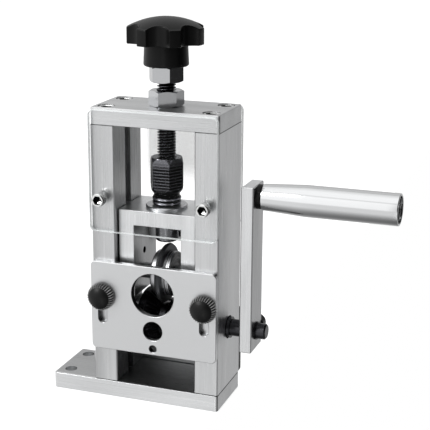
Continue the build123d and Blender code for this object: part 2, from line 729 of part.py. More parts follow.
# Slider block: an inverted U with a rear web and a tongue on each side
slider_depth = slider_rear_y - slider_front_y
tongue_tip_x = column_inner_x + groove_depth - tongue_tip_clearance
tongue_x = (tongue_tip_x + slider_half_width) / 2
tongue_width = groove_width - 2 * tongue_clearance
with BuildPart() as slider_block:
    with BuildSketch(Plane.XZ.offset(-slider_rear_y)):
        with BuildLine():
            Polyline(
                (-slider_half_width, slider_bottom_z),
                (-slider_half_width, slider_top_z),
                (slider_half_width, slider_top_z),
                (slider_half_width, slider_bottom_z),
                (cutout_width / 2, slider_bottom_z),
                (cutout_width / 2, bridge_bottom_z),
                (-cutout_width / 2, bridge_bottom_z),
                (-cutout_width / 2, slider_bottom_z),
                close=True,
            )
        make_face()
    extrude(amount=slider_depth)
    chamfer(slider_block.edges().group_by(Axis.Y)[0], length=slider_chamfer)
    chamfer(slider_block.edges().group_by(Axis.Y)[-1], length=slider_chamfer)
    with BuildSketch(Plane.XZ.offset(-slider_rear_y)):
        with Locations((0, (web_bottom_z + slider_top_z) / 2)):
            Rectangle(cutout_width, slider_top_z - web_bottom_z)
    extrude(amount=slider_rear_y - web_front_y)
    with BuildSketch(Plane.XY.offset(slider_bottom_z)):
        with Locations((-tongue_x, 0), (tongue_x, 0)):
            Rectangle(tongue_tip_x - slider_half_width, tongue_width)
    extrude(amount=slider_top_z - slider_bottom_z)
    with BuildSketch(Plane.XY.offset(bridge_bottom_z)):
        Circle(rod_radius + rod_fit)
    extrude(amount=bridge_thickness, mode=Mode.SUBTRACT)
    with BuildSketch(Plane.YZ.offset(-tongue_tip_x)):
        with Locations((0, cutter_z)):
            Circle(axle_diameter / 2)
    extrude(amount=2 * tongue_tip_x, mode=Mode.SUBTRACT)
    with BuildSketch(Plane.YZ.offset(-cutout_width / 2)):
        with Locations((0, cutter_z + cross_hole_height)):
            Circle(cross_hole_diameter / 2)
    extrude(amount=-cross_hole_depth, mode=Mode.SUBTRACT)
    with BuildSketch(Plane.XZ.offset(-web_front_y)):
        with Locations((0, web_bottom_z + web_hole_height)):
            with GridLocations(web_hole_spacing, 0, 2, 1):
                Circle(web_hole_diameter / 2)
    extrude(amount=-cross_hole_depth, mode=Mode.SUBTRACT)
    with BuildSketch(Plane.XY.offset(slider_bottom_z)):
        with Locations((-leg_x, 0), (leg_x, 0)):
            Circle(axle_screw_diameter / 2)
    extrude(amount=leg_drop, mode=Mode.SUBTRACT)
slider_block.part.label = "slider_block"
export_step(slider_block.part, "parts/slider_block.step")

axle_screw_z = slider_bottom_z + set_screw_recess
axle_screw_length = leg_drop - set_screw_recess
with BuildPart() as axle_set_screws:
    with Locations(*[Plane((x, 0, axle_screw_z), z_dir=(0, 0, -1)) for x in (-leg_x, leg_x)]):
        add(set_screw(axle_screw_diameter, axle_screw_length))
    with BuildSketch(Plane.YZ.offset(-slider_half_width)):
        with Locations((0, cutter_z)):
            Circle(axle_diameter / 2)
    extrude(amount=2 * slider_half_width, mode=Mode.SUBTRACT)
axle_set_screws.part.label = "axle_set_screws"
export_step(axle_set_screws.part, "parts/axle_set_screws.step")

# Washer between the slider and the coupling
with BuildPart() as slider_washer:
    with BuildSketch(Plane.XY.offset(slider_top_z)):
        Circle(washer_diameter / 2)
        Circle(rod_radius + rod_fit, mode=Mode.SUBTRACT)
    extrude(amount=washer_thickness)
    chamfer(slider_washer.edges().group_by(Axis.Z)[-1].sort_by(SortBy.LENGTH)[-1], length=washer_chamfer)
slider_washer.part.label = "slider_washer"
export_step(slider_washer.part, "parts/slider_washer.step")

# Adjusting screw, with a groove for the ring that holds it under the bridge
ring_top_z = bridge_bottom_z - turning_gap
ring_bottom_z = ring_top_z - retaining_ring_thickness
rod_top_z = knob_bottom_z + knob_bore_depth
with BuildPart() as adjusting_screw:
    with BuildSketch(Plane.XY.offset(rod_bottom_z)):
        Circle(rod_radius)
    extrude(amount=rod_top_z - rod_bottom_z)
    chamfer(adjusting_screw.edges().filter_by(GeomType.CIRCLE), length=rod_end_chamfer)
    with BuildSketch(Plane.XY.offset(ring_bottom_z)):
        Circle(rod_radius)
        Circle(rod_radius - retaining_groove_depth, mode=Mode.SUBTRACT)
    extrude(amount=retaining_ring_thickness, mode=Mode.SUBTRACT)
adjusting_screw.part.label = "adjusting_screw"
export_step(adjusting_screw.part, "parts/adjusting_screw.step")

with BuildPart() as retaining_ring:
    with BuildSketch(Plane.XY.offset(ring_bottom_z)):
        Circle(retaining_ring_radius)
        Circle(rod_radius - retaining_groove_depth, mode=Mode.SUBTRACT)
    extrude(amount=retaining_ring_thickness)
retaining_ring.part.label = "retaining_ring"
export_step(retaining_ring.part, "parts/retaining_ring.step")

# Coupling: a grooved neck that widens into a hexagon with a bevelled top
coupling_corner = nut_across_flats / 2 / cos(radians(30))
neck_radius = coupling_neck_diameter / 2
neck_top_z = coupling_bottom_z + coupling_neck_height
hex_bottom_z = neck_top_z + coupling_taper_height
coupling_top_z = hex_bottom_z + coupling_hex_height
with BuildPart() as coupling_nut:
    with BuildSketch(Plane.XZ):
        with BuildLine():
            Polyline(
                (rod_radius, coupling_bottom_z),
                (neck_radius, coupling_bottom_z),
                (neck_radius, neck_top_z),
                (coupling_corner, hex_bottom_z),
                (coupling_corner, coupling_top_z - coupling_bevel_height),
                (nut_across_flats / 2, coupling_top_z),
                (rod_radius, coupling_top_z),
                close=True,
            )
        make_face()
        for share in coupling_ring_shares:
            with Locations((neck_radius, coupling_bottom_z + share * coupling_neck_height)):
                Rectangle(2 * coupling_ring_groove, coupling_ring_groove, mode=Mode.SUBTRACT)
    revolve(axis=Axis.Z)
    with BuildSketch(Plane.XY.offset(coupling_bottom_z)):
        RegularPolygon(nut_across_flats / 2, 6, major_radius=False, rotation=coupling_angle)
    extrude(amount=coupling_top_z - coupling_bottom_z, mode=Mode.INTERSECT)
coupling_nut.part.label = "coupling_nut"
export_step(coupling_nut.part, "parts/coupling_nut.step")

# Lock nut on the top plate, and the nut under the knob
with BuildPart() as lock_nut:
    with Locations((0, 0, frame_top_z + seat_gap)):
        add(hex_nut(nut_across_flats, nut_height, rod_diameter + 2 * rod_fit, lock_nut_angle))
lock_nut.part.label = "lock_nut"
export_step(lock_nut.part, "parts/lock_nut.step")

with BuildPart() as knob_nut:
    with Locations((0, 0, knob_bottom_z - nut_height)):
        add(hex_nut(nut_across_flats, nut_height, rod_diameter, knob_nut_angle))
knob_nut.part.label = "knob_nut"
export_step(knob_nut.part, "parts/knob_nut.step")

# Star knob: a turned body with a domed crown, cut to lobes by a scalloped outline
knob_radius = knob_diameter / 2
hub_radius = knob_hub_diameter / 2
lobe_bottom_z = knob_bottom_z + knob_hub_height
lobe_top_z = lobe_bottom_z + knob_lobe_height
knob_top_z = lobe_top_z + knob_dome_height
shoulder_radius = knob_radius - knob_edge_radius
crown_radius = (shoulder_radius**2 + knob_dome_height**2) / (2 * knob_dome_height)
scallop_distance = knob_valley_diameter / 2 + knob_scallop_radius
scallop_angle = knob_lobe_angle + 180 / knob_lobes
with BuildPart() as star_knob:
    with BuildSketch(Plane.XZ):
        with BuildLine():
            hub_foot = Line(
                (0, knob_bottom_z),
                (hub_radius - knob_hub_rounding, knob_bottom_z),
            )
            foot_round = RadiusArc(
                hub_foot @ 1,
                (hub_radius, knob_bottom_z + knob_hub_rounding),
                -knob_hub_rounding,
            )
            hub_side = Polyline(
                foot_round @ 1,
                (knob_hub_top_diameter / 2, lobe_bottom_z),
                (knob_radius - knob_lower_edge_radius, lobe_bottom_z),
            )
            lower_round = RadiusArc(
                hub_side @ 1,
                (knob_radius, lobe_bottom_z + knob_lower_edge_radius),
                -knob_lower_edge_radius,
            )
            rim = Line(lower_round @ 1, (knob_radius, lobe_top_z - knob_edge_radius))
            upper_round = RadiusArc(rim @ 1, (shoulder_radius, lobe_top_z), -knob_edge_radius)
            crown = RadiusArc(upper_round @ 1, (0, knob_top_z), -crown_radius)
            Line(crown @ 1, hub_foot @ 0)
        make_face()
    revolve(axis=Axis.Z)
    with BuildSketch(Plane.XY.offset(knob_bottom_z)) as knob_outline:
        Circle(knob_radius + knob_tip_margin)
        with PolarLocations(scallop_distance, knob_lobes, start_angle=scallop_angle):
            Circle(knob_scallop_radius, mode=Mode.SUBTRACT)
        fillet(knob_outline.vertices(), radius=knob_lobe_rounding)
    extrude(amount=knob_top_z - knob_bottom_z, mode=Mode.INTERSECT)
    with BuildSketch(Plane.XY.offset(knob_bottom_z)):
        Circle(rod_radius)
    extrude(amount=knob_bore_depth, mode=Mode.SUBTRACT)
star_knob.part.label = "star_knob"
export_step(star_knob.part, "parts/star_knob.step")

# Crank arm, a flat bar bored for the shaft and tapped for the handle bolt
arm_bottom_z = shaft_z - arm_bottom_margin
arm_top_z = handle_z + arm_top_margin
arm_x = (arm_inner_x + arm_outer_x) / 2
with BuildPart() as crank_arm:
    with BuildSketch(Plane.YZ.offset(arm_inner_x)):
        with Locations((0, (arm_bottom_z + arm_top_z) / 2)):
            Rectangle(arm_width, arm_top_z - arm_bottom_z)
    extrude(amount=arm_thickness)
    chamfer(crank_arm.edges(), length=edge_chamfer)
    with BuildSketch(Plane.YZ.offset(arm_inner_x)):
        with Locations((0, shaft_z)):
            Circle(shaft_neck_diameter / 2)
        with Locations((0, handle_z)):
            Circle(handle_bolt_diameter / 2)
    extrude(amount=arm_thickness, mode=Mode.SUBTRACT)
    with BuildSketch(Plane.XZ.offset(-arm_width / 2)):
        with Locations((arm_x, shaft_z)):
            Circle(arm_screw_diameter / 2)
    extrude(amount=arm_width / 2, mode=Mode.SUBTRACT)
crank_arm.part.label = "crank_arm"
export_step(crank_arm.part, "parts/crank_arm.step")

with BuildPart() as arm_screw:
    with Locations(Plane((arm_x, arm_width / 2, shaft_z), z_dir=(0, 1, 0))):
        add(cap_screw(arm_screw_diameter, arm_width / 2, arm_screw_head_diameter, arm_screw_head_height))
    with BuildSketch(Plane.YZ.offset(arm_inner_x)):
        with Locations((0, shaft_z)):
            Circle(shaft_neck_diameter / 2)
    extrude(amount=arm_thickness, mode=Mode.SUBTRACT)
arm_screw.part.label = "arm_screw"
export_step(arm_screw.part, "parts/arm_screw.step")

arm_ring = sleeve_along_x(
    arm_outer_x, arm_outer_x + arm_ring_width, shaft_z,
    ring_groove_radius, ring_groove_radius + arm_ring_wall,
)
arm_ring.label = "arm_ring"
export_step(arm_ring, "parts/arm_ring.step")

# Handle: the grip turns on two bushes around a bolt that is screwed into the arm
recess_floor_x = grip_end_x - grip_recess_depth
bolt_radius = handle_bolt_diameter / 2
bush_bore_radius = bolt_radius + handle_running_fit
bush_radius = bush_bore_radius + bush_wall
bolt_head_x = recess_floor_x + turning_gap
with BuildPart() as handle_bolt:
    with BuildSketch(Plane.YZ.offset(arm_inner_x)):
        with Locations((0, handle_z)):
            Circle(bolt_radius)
    extrude(amount=bolt_head_x - arm_inner_x)
    with BuildSketch(Plane.YZ.offset(bolt_head_x)):
        with Locations((0, handle_z)):
            Circle(handle_bolt_head_diameter / 2)
    extrude(amount=handle_bolt_head_height)
    chamfer(handle_bolt.edges().filter_by(GeomType.CIRCLE).group_by(Axis.X)[-1], length=edge_chamfer)
    with BuildSketch(Plane.YZ.offset(bolt_head_x + handle_bolt_head_height)):
        with Locations((0, handle_z)):
            RegularPolygon(handle_bolt_socket_flats / 2, 6, major_radius=False)
    extrude(amount=-handle_bolt_head_height * socket_depth_share, mode=Mode.SUBTRACT)
handle_bolt.part.label = "handle_bolt"
export_step(handle_bolt.part, "parts/handle_bolt.step")

handle_washer = sleeve_along_x(
    arm_outer_x, arm_outer_x + handle_washer_thickness, handle_z,
    bolt_radius, handle_washer_diameter / 2,
)
handle_washer.label = "handle_washer"
export_step(handle_washer, "parts/handle_washer.step")

with BuildPart() as handle_grip:
    with BuildSketch(Plane.XZ):
        with BuildLine():
            Polyline(
                (grip_start_x, handle_z + bush_radius),
                (grip_start_x, handle_z + grip_start_diameter / 2 - edge_chamfer),
                (grip_start_x + edge_chamfer, handle_z + grip_start_diameter / 2),
                (grip_start_x + grip_taper_length, handle_z + grip_diameter / 2),
                (grip_end_x - edge_chamfer, handle_z + grip_diameter / 2),
                (grip_end_x, handle_z + grip_diameter / 2 - edge_chamfer),
                (grip_end_x, handle_z + grip_diameter / 2 - grip_recess_rim),
                (recess_floor_x, handle_z + grip_diameter / 2 - grip_recess_rim),
                (recess_floor_x, handle_z + bush_radius),
                close=True,
            )
        make_face()
    revolve(axis=Axis((0, 0, handle_z), (1, 0, 0)))
handle_grip.part.label = "handle_grip"
export_step(handle_grip.part, "parts/handle_grip.step")

with BuildPart() as handle_bushes:
    add(sleeve_along_x(grip_start_x, grip_start_x + bush_length, handle_z, bush_bore_radius, bush_radius))
    add(sleeve_along_x(recess_floor_x - bush_length, recess_floor_x, handle_z, bush_bore_radius, bush_radius))
handle_bushes.part.label = "handle_bushes"
export_step(handle_bushes.part, "parts/handle_bushes.step")

# Wire guide plate: three wire holes in a row, and a slot for each thumb screw
slot_top_z = thumb_z + guide_lower_play
slot_bottom_z = thumb_z - guide_lift
slot_mid_z = (slot_top_z + slot_bottom_z) / 2
with BuildPart() as guide_plate:
    with BuildSketch(Plane.XZ.offset(-guide_back_y)):
        with Locations((0, guide_bottom_z + guide_height / 2)):
            RectangleRounded(frame_width, guide_height, guide_corner_radius)
        for hole_height, hole_diameter in (
            (large_wire_hole_height, large_wire_hole_diameter),
            (medium_wire_hole_height, medium_wire_hole_diameter),
            (small_wire_hole_height, small_wire_hole_diameter),
        ):
            with Locations((0, shaft_z + hole_height)):
                Circle(hole_diameter / 2, mode=Mode.SUBTRACT)
        with Locations((-column_x, slot_mid_z), (column_x, slot_mid_z)):
            SlotCenterToCenter(slot_top_z - slot_bottom_z, slot_width, rotation=90, mode=Mode.SUBTRACT)
    extrude(amount=guide_thickness)
    chamfer(guide_plate.faces().sort_by(Axis.Y)[0].edges(), length=guide_chamfer)
guide_plate.part.label = "guide_plate"
export_step(guide_plate.part, "parts/guide_plate.step")

# Thumb screws: a moulded knob with a domed face on a steel stud
thumb_radius = thumb_knob_diameter / 2
thumb_back_y = guide_front_y - seat_gap
thumb_front_y = thumb_back_y - thumb_knob_length
thumb_dome_radius = (thumb_radius**2 + thumb_dome_height**2) / (2 * thumb_dome_height)
stud_head_y = thumb_back_y - thumb_stud_grip
stud_tip_y = -half_depth + thumb_stud_depth
for side_name, x in (("left", -column_x), ("right", column_x)):
    with BuildPart() as thumb_knob:
        with BuildSketch(Plane.XY.offset(thumb_z)):
            with BuildLine():
                back = Polyline(
                    (x, thumb_front_y),
                    (x, stud_head_y),
                    (x + thumb_stud_diameter / 2, stud_head_y),
                    (x + thumb_stud_diameter / 2, thumb_back_y),
                    (x + thumb_radius - edge_chamfer, thumb_back_y),
                    (x + thumb_radius, thumb_back_y - edge_chamfer),
                    (x + thumb_radius, thumb_front_y + thumb_dome_height),
                )
                RadiusArc(back @ 1, back @ 0, thumb_dome_radius)
            make_face()
        revolve(axis=Axis((x, 0, thumb_z), (0, 1, 0)))
    thumb_knob.part.label = f"thumb_knob_{side_name}"
    export_step(thumb_knob.part, f"parts/thumb_knob_{side_name}.step")

    with BuildPart() as thumb_stud:
        with BuildSketch(Plane.XZ.offset(-stud_tip_y)):
            with Locations((x, thumb_z)):
                Circle(thumb_stud_diameter / 2)
        extrude(amount=stud_tip_y - stud_head_y)
        chamfer(thumb_stud.edges().group_by(Axis.Y)[-1], length=thumb_stud_chamfer)
    thumb_stud.part.label = f"thumb_stud_{side_name}"
    export_step(thumb_stud.part, f"parts/thumb_stud_{side_name}.step")
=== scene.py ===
import math
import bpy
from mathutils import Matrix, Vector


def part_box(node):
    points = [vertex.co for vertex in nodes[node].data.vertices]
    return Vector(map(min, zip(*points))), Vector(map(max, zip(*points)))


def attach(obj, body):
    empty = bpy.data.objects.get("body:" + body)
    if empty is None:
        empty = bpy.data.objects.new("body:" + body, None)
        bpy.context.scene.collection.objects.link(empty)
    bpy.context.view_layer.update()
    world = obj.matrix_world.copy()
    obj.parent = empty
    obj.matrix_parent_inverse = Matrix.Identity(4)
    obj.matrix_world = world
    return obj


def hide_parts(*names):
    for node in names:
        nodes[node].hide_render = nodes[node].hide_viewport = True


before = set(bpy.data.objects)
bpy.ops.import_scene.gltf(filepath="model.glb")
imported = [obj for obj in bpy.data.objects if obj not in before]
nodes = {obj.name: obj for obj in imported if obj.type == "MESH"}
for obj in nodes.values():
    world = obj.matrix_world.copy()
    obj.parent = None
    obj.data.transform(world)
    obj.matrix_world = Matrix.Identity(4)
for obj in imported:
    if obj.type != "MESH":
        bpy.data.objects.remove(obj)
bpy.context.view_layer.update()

from fnmatch import fnmatch

import bpy
import numpy as np
from bpy.props import FloatProperty, FloatVectorProperty, IntProperty, PointerProperty
from bpy.types import Operator, Panel, PropertyGroup
from mathutils import Matrix, Vector

bl_info = {
    "name": "Manual Wire Stripping Machine",
    "version": (1, 0, 0),
    "blender": (4, 5, 0),
    "location": "View3D > Sidebar > Wire Stripper",
    "description": "Dresses the packed wire stripping machine: turned, milled and moulded parts, floor, light",
    "category": "Object",
}

MM = 0.001
SIXTH = math.radians(60)
QUARTER = math.radians(90)
ORIGIN = (0, 0, 0)
# Most values of a noise lie between these two
NOISE = (0.3, 0.7)

# A right-handed pair of directions round each axis that a turned piece may have
ROUND_AXES = {
    "X": ((0, 1, 0), (0, 0, 1), (1, 0, 0)),
    "-Y": ((1, 0, 0), (0, 0, 1), (0, -1, 0)),
    "Y": ((0, 0, 1), (1, 0, 0), (0, 1, 0)),
    "Z": ((1, 0, 0), (0, 1, 0), (0, 0, 1)),
}


def linear(code):
    """The linear colour of an sRGB hex code: a channel c becomes c / 12.92 up to 0.04045, and
    ((c + 0.055) / 1.055) to the power 2.4 above it."""
    channels = [int(code[i:i + 2], 16) / 255 for i in (1, 3, 5)]
    return tuple(c / 12.92 if c <= 0.04045 else ((c + 0.055) / 1.055) ** 2.4 for c in channels) + (1.0,)


class StripperSizes(PropertyGroup):
    """Sizes of the details that are worked out here"""

    thread_pitch: FloatProperty(
        name="Thread Pitch", description="Rise of the adjusting screw in one turn",
        default=1.5 * MM, min=0.2 * MM, unit="LENGTH")
    thread_depth: FloatProperty(
        name="Thread Depth", description="Height of the thread from its root to its crest",
        default=1.25 * MM, min=0.0, unit="LENGTH")
    knob_lobes: IntProperty(name="Knob Lobes", description="Number of lobes of the star knob", default=7, min=3)
    knob_lobe_angle: FloatProperty(
        name="Knob Lobe Angle", description="Direction of the first lobe's tip",
        default=math.radians(-55.4), subtype="ANGLE")
    roller_serrations: IntProperty(
        name="Roller Serrations", description="Ridges round the groove of the feed roller", default=40, min=8)
    roller_serration_height: FloatProperty(
        name="Serration Height", description="How far the ridges stand out of the groove",
        default=0.4 * MM, min=0.0, unit="LENGTH")
    thumb_ridges: IntProperty(
        name="Thumb Screw Ridges", description="Ridges round each thumb screw", default=32, min=8)
    thumb_ridge_depth: FloatProperty(
        name="Ridge Depth", description="Depth of the grooves between the ridges",
        default=0.8 * MM, min=0.0, unit="LENGTH")


def colour_property(name, description, code):
    return FloatVectorProperty(
        name=name, description=description, default=linear(code), size=4, min=0.0, max=1.0, subtype="COLOR")


class StripperColours(PropertyGroup):
    """Colours of the finishes"""

    aluminium: colour_property("Aluminium", "Milled frame plates and columns", "#E1E2E3")
    blasted_aluminium: colour_property("Guide Plate", "Blasted aluminium of the wire guide", "#D5D6D7")
    steel: colour_property("Steel", "Plain turned steel of nuts, rings and flanges", "#C3C4C6")
    ground_steel: colour_property("Ground Steel", "Hardened and ground cutting disc", "#77787B")
    zinc: colour_property("Zinc", "Bright zinc plating of the screws", "#D9DAD9")
    black_oxide: colour_property("Black Oxide", "Blackened steel of the screw, shaft and roller", "#252527")
    black_plastic: colour_property("Black Plastic", "Moulded knobs and washers", "#080808")
    rear_plate: colour_property("Rear Plate", "Inner face of the anodised sheet low at the back", "#B4B5B6")
    bronze: colour_property("Bronze", "Sintered bushes of the handle", "#B08A55")
    clear: colour_property("Clear Acrylic", "Tint of the clear guards", "#F3F7F7")
    # Grey of a painted reflection on the rear guard
    painted_reflection: colour_property("Painted_Reflection", "Grey film on the rear guard", "#6E6F70")
    floor: colour_property("Floor", "Pale floor under the machine", "#F4F4F4")


def colour_of(name):
    """A colour as it is set in the panel"""
    return tuple(getattr(bpy.context.scene.stripper_colours, name))


def set_input(node, key, value):
    """Sets an input to a number or colour, or links it to a socket or to the first output of a node."""
    if isinstance(value, bpy.types.Node):
        value = value.outputs[0]
    if isinstance(value, bpy.types.NodeSocket):
        node.id_data.links.new(value, node.inputs[key])
    else:
        node.inputs[key].default_value = value


def add_node(mat, kind, inputs=(), **settings):
    """Adds a node of that kind, sets its settings, and sets or links its inputs, which are given by name
    or in their own order. For a Map Range that order is the value, its two ends, and what they become."""
    node = mat.node_tree.nodes.new("ShaderNode" + kind)
    for key, value in settings.items():
        setattr(node, key, value)
    for key, value in inputs.items() if isinstance(inputs, dict) else enumerate(inputs):
        set_input(node, key, value)
    return node


def set_shader(mat, key, value):
    """Sets or links an input of the material's Principled shader."""
    set_input(mat.node_tree.nodes["Principled BSDF"], key, value)


def new_material(name, settings):
    """A material with one Principled shader, whose inputs are set here."""
    mat = bpy.data.materials.new(name)
    mat.use_nodes = True
    for key, value in settings.items():
        set_shader(mat, key, value)
    return mat


def new_metal(name, finish, roughness, tone=1.0):
    colour = tuple(tone * c for c in colour_of(finish)[:3]) + (1.0,)
    return new_material(name, {"Base Color": colour, "Metallic": 1.0, "Roughness": roughness})


def times(mat, *factors):
    """The product of sockets, nodes or numbers"""
    product = factors[0]
    for factor in factors[1:]:
        product = add_node(mat, "Math", (product, factor), operation="MULTIPLY")
    return product


def own_place(mat, kind="Object"):
    """The X, Y and Z of the piece's own coordinates, or of its normal"""
    place = add_node(mat, "TexCoord")
    apart = add_node(mat, "SeparateXYZ", (place.outputs[kind],))
    return [apart.outputs[axis] for axis in "XYZ"]


def fine_noise(mat, width, detail=3.0):
    """Noise in the piece's own space, with patches about `width` wide"""
    place = add_node(mat, "TexCoord")
    return add_node(mat, "TexNoise", {"Vector": place.outputs["Object"], "Scale": 1 / width, "Detail": detail})


def grain_along(mat, along, across, length):
    """Noise drawn out along one axis: the lines are `across` wide and `length` long, in metres."""
    place = add_node(mat, "TexCoord")
    scale = [1 / across] * 3
    scale["XYZ".index(along)] = 1 / length
    mapping = add_node(mat, "Mapping", {"Vector": place.outputs["Object"], "Scale": scale})
    return add_node(mat, "TexNoise", {"Vector": mapping, "Scale": 1.0, "Detail": 3.0})


def painted_recess_shade(mat, reach, deepest=0.0, open_at=0.9):
    """A factor of 1 on open faces that falls to `deepest` in the piece's own seams, sockets and grooves:
    painted shade, from ambient occlusion. `reach` is how far a wall still counts."""
    seen = add_node(mat, "AmbientOcclusion", {"Distance": reach}, samples=8, only_local=True)
    return add_node(
        mat, "MapRange", (seen.outputs["AO"], 0.3, open_at, deepest, 1.0), interpolation_type="SMOOTHSTEP")


def shade_and_tone_by_face(mat, x=1.0, y=1.0, z=1.0):
    """A factor that is x, y or z on faces that look along that axis, either way: the dot product of the
    three with the squares of the normal's parts. Mostly it is painted shade and highlight by face."""
    normal = add_node(mat, "TexCoord").outputs["Normal"]
    squares = add_node(mat, "VectorMath", (normal, normal), operation="MULTIPLY")
    shades_and_tones = add_node(mat, "CombineXYZ", (x, y, z))
    factor = add_node(mat, "VectorMath", (squares, shades_and_tones), operation="DOT_PRODUCT")
    return factor.outputs["Value"]


def tint(mat, shade):
    """Multiplies the shader's colour by a shade."""
    colour = mat.node_tree.nodes["Principled BSDF"].inputs["Base Color"].default_value[:3]
    tinted = add_node(mat, "VectorMath", {0: colour, "Scale": shade}, operation="SCALE")
    set_shader(mat, "Base Color", tinted)


def vary_skin(mat, noise, low, high, strength=0.0, depth=0.0):
    """Lets a noise move the roughness from `low` to `high`, and raise a bump `depth` high."""
    gloss = add_node(mat, "MapRange", (noise, *NOISE, low, high))
    set_shader(mat, "Roughness", gloss)
    if strength:
        bump = add_node(mat, "Bump", {"Strength": strength, "Distance": depth, "Height": noise})
        set_shader(mat, "Normal", bump)


def milled_aluminium(name, along, finish="aluminium", roughness=0.3, reach=1.5 * MM, deepest=0.0,
                     shades_and_tones=(1.0, 1.0, 1.0), behind=1.0, joints=None):
    """Aluminium plate, milled and lightly brushed. Its tones by face along X, Y and Z are painted shade and
    highlight, but on the rear plate its two-tone colour, and `behind` darkens those that look back. Its seams
    and grooves get painted shade. A column has `joints`, the heights of its two ends, where it is dark on the
    last 0.3 mm, as a tight joint between two plates is. Its inner sides get painted shade, and its front a
    painted shade that grows towards the left edge of the frame."""
    # The eye gets fine parallel lines along the piece, and a soft satin gloss that they break up.
    # Tool lines are about 0.1 mm apart and are drawn 0.35 mm wide and 30 mm long so that they show.
    mat = new_metal(name, finish, roughness)
    grain = grain_along(mat, along, 0.35 * MM, 30 * MM)
    cloud = grain_along(mat, along, 10 * MM, 70 * MM)
    fine = add_node(mat, "MapRange", (grain, *NOISE, 0.88, 1.0))
    soft = add_node(mat, "MapRange", (cloud, *NOISE, 0.86, 1.0))
    rear = add_node(mat, "MapRange", (own_place(mat, "Normal")[1], 0.0, 0.5, 1.0, behind))
    # Painted shade in the piece's own seams and grooves
    shade = times(mat, fine, soft, painted_recess_shade(mat, reach, deepest), rear)
    tone_x, tone_y, tone_z = shades_and_tones
    if joints:
        x, _, z = own_place(mat)
        edge, sides, inner = 35 * MM, 34 * MM, 28 * MM
        out = add_node(mat, "Math", (x,), operation="ABSOLUTE")
        # Painted shade on the column's inner sides and towards the frame's left edge
        tone_x = add_node(mat, "MapRange", (out, inner, sides, 0.7, tone_x))
        tone_y = add_node(mat, "MapRange", (x, -edge, -inner, 0.75 * tone_y, tone_y))
        off_middle = add_node(mat, "Math", (z, sum(joints) / 2), operation="SUBTRACT")
        height = add_node(mat, "Math", (off_middle,), operation="ABSOLUTE")
        end = (joints[1] - joints[0]) / 2
        seam = add_node(mat, "MapRange", (height, end - 0.35 * MM, end - 0.2 * MM, 1.0, 0.18))
        shade = times(mat, shade, seam)
    # Painted shade and highlight by face
    tint(mat, times(mat, shade, shade_and_tone_by_face(mat, tone_x, tone_y, tone_z)))
    vary_skin(mat, grain, roughness + 0.07, roughness - 0.05, 0.25, 0.02 * MM)
    return mat


def blasted_aluminium(name, right_edge):
    """Aluminium sheet, glass-bead blasted and clear anodised. `right_edge` is where it ends."""
    # The eye gets an even, fine matt skin with no direction and a very soft gloss.
    # The beads leave dents of about 0.1 mm, drawn 0.3 mm wide so that they show.
    # Its sawn hole and slot walls get painted shade where they face right, and its right edge a painted
    # highlight.
    mat = new_metal(name, "blasted_aluminium", 0.4)
    facing, place = own_place(mat, "Normal")[0], own_place(mat)[0]
    walls = add_node(mat, "MapRange", (facing, 0.1, 0.7, 1.0, 0.06))
    painted_light_tone = add_node(mat, "MapRange", (place, right_edge - 0.7 * MM, right_edge - 0.4 * MM, 0.0, 1.4))
    shade = add_node(mat, "Math", (walls, painted_light_tone), operation="MAXIMUM")
    tint(mat, shade)
    vary_skin(mat, fine_noise(mat, 0.3 * MM, 2.0), 0.45, 0.35, 0.3, 0.02 * MM)
    return mat


def turned_metal(name, axis, centre, finish, roughness, line_width=0.25 * MM, depth=0.012 * MM, shades_and_tones=None,
                 lines=1.0):
    """Metal turned on a lathe about an axis through the centre. Its tones by face along X, Y and Z are painted
    shade on its ends and painted highlight on its round side; where all three are alike they are a darker tone
    of its colour. `lines` is the tone of the deepest turning marks, where dirt stays."""
    # The eye gets fine rings round the axis, from the tool's feed, that spread highlights across them.
    # The feed is about 0.1 mm a turn and is drawn at line_width so that it shows.
    mat = new_metal(name, finish, roughness)
    place = add_node(mat, "TexCoord")
    local = add_node(mat, "Mapping", {"Vector": place.outputs["Object"], "Location": [-c for c in centre]})
    apart = add_node(mat, "SeparateXYZ", (local,))
    flat = add_node(mat, "CombineXYZ", {other: apart.outputs[other] for other in "XYZ" if other != axis})
    radius = add_node(mat, "VectorMath", (flat,), operation="LENGTH")
    feed = add_node(mat, "Math", (radius.outputs["Value"], apart.outputs[axis]), operation="ADD")
    rings = add_node(
        mat, "TexNoise", {"W": feed, "Scale": 1 / line_width, "Detail": 2.0}, noise_dimensions="1D")
    vary_skin(mat, rings, roughness + 0.06, roughness - 0.04, 0.3, depth)
    if shades_and_tones:
        # Darker turning marks, with painted shade and highlight by face
        marks = add_node(mat, "MapRange", (rings, 0.38, 0.55, lines, 1.0))
        tint(mat, times(mat, marks, shade_and_tone_by_face(mat, *shades_and_tones)))
    return mat


def zinc_plated_steel(name, shades_and_tones=(1.0, 1.0, 1.0), deepest=0.02, reach=3 * MM, lit=None):
    """Steel screw, bright zinc plated. Its tones by face along X, Y and Z are painted shade and highlight, and
    its sockets get painted shade. Where an attribute `inside` is 1, in the sockets, the walls that look in the
    direction `lit` get a painted highlight and the others painted shade."""
    # The eye gets a clean silvery gloss with faint cloudy patches from the plating bath.
    mat = new_metal(name, "zinc", 0.18)
    shade = times(mat, painted_recess_shade(mat, reach, deepest, 0.85), shade_and_tone_by_face(mat, *shades_and_tones))
    if lit:
        place = add_node(mat, "TexCoord")
        towards = add_node(mat, "VectorMath", (place.outputs["Normal"], lit), operation="DOT_PRODUCT")
        # Painted highlight on the socket walls that face `lit`, painted shade on the others
        wall = add_node(mat, "MapRange", (towards.outputs["Value"], 0.35, 0.6, 0.01, 1.3))
        inside = add_node(mat, "Attribute", attribute_name="inside")
        shade = add_node(mat, "Mix", {0: inside.outputs["Fac"], 2: shade, 3: wall}, data_type="FLOAT")
    tint(mat, shade)
    vary_skin(mat, fine_noise(mat, 1.5 * MM), 0.12, 0.26)
    return mat


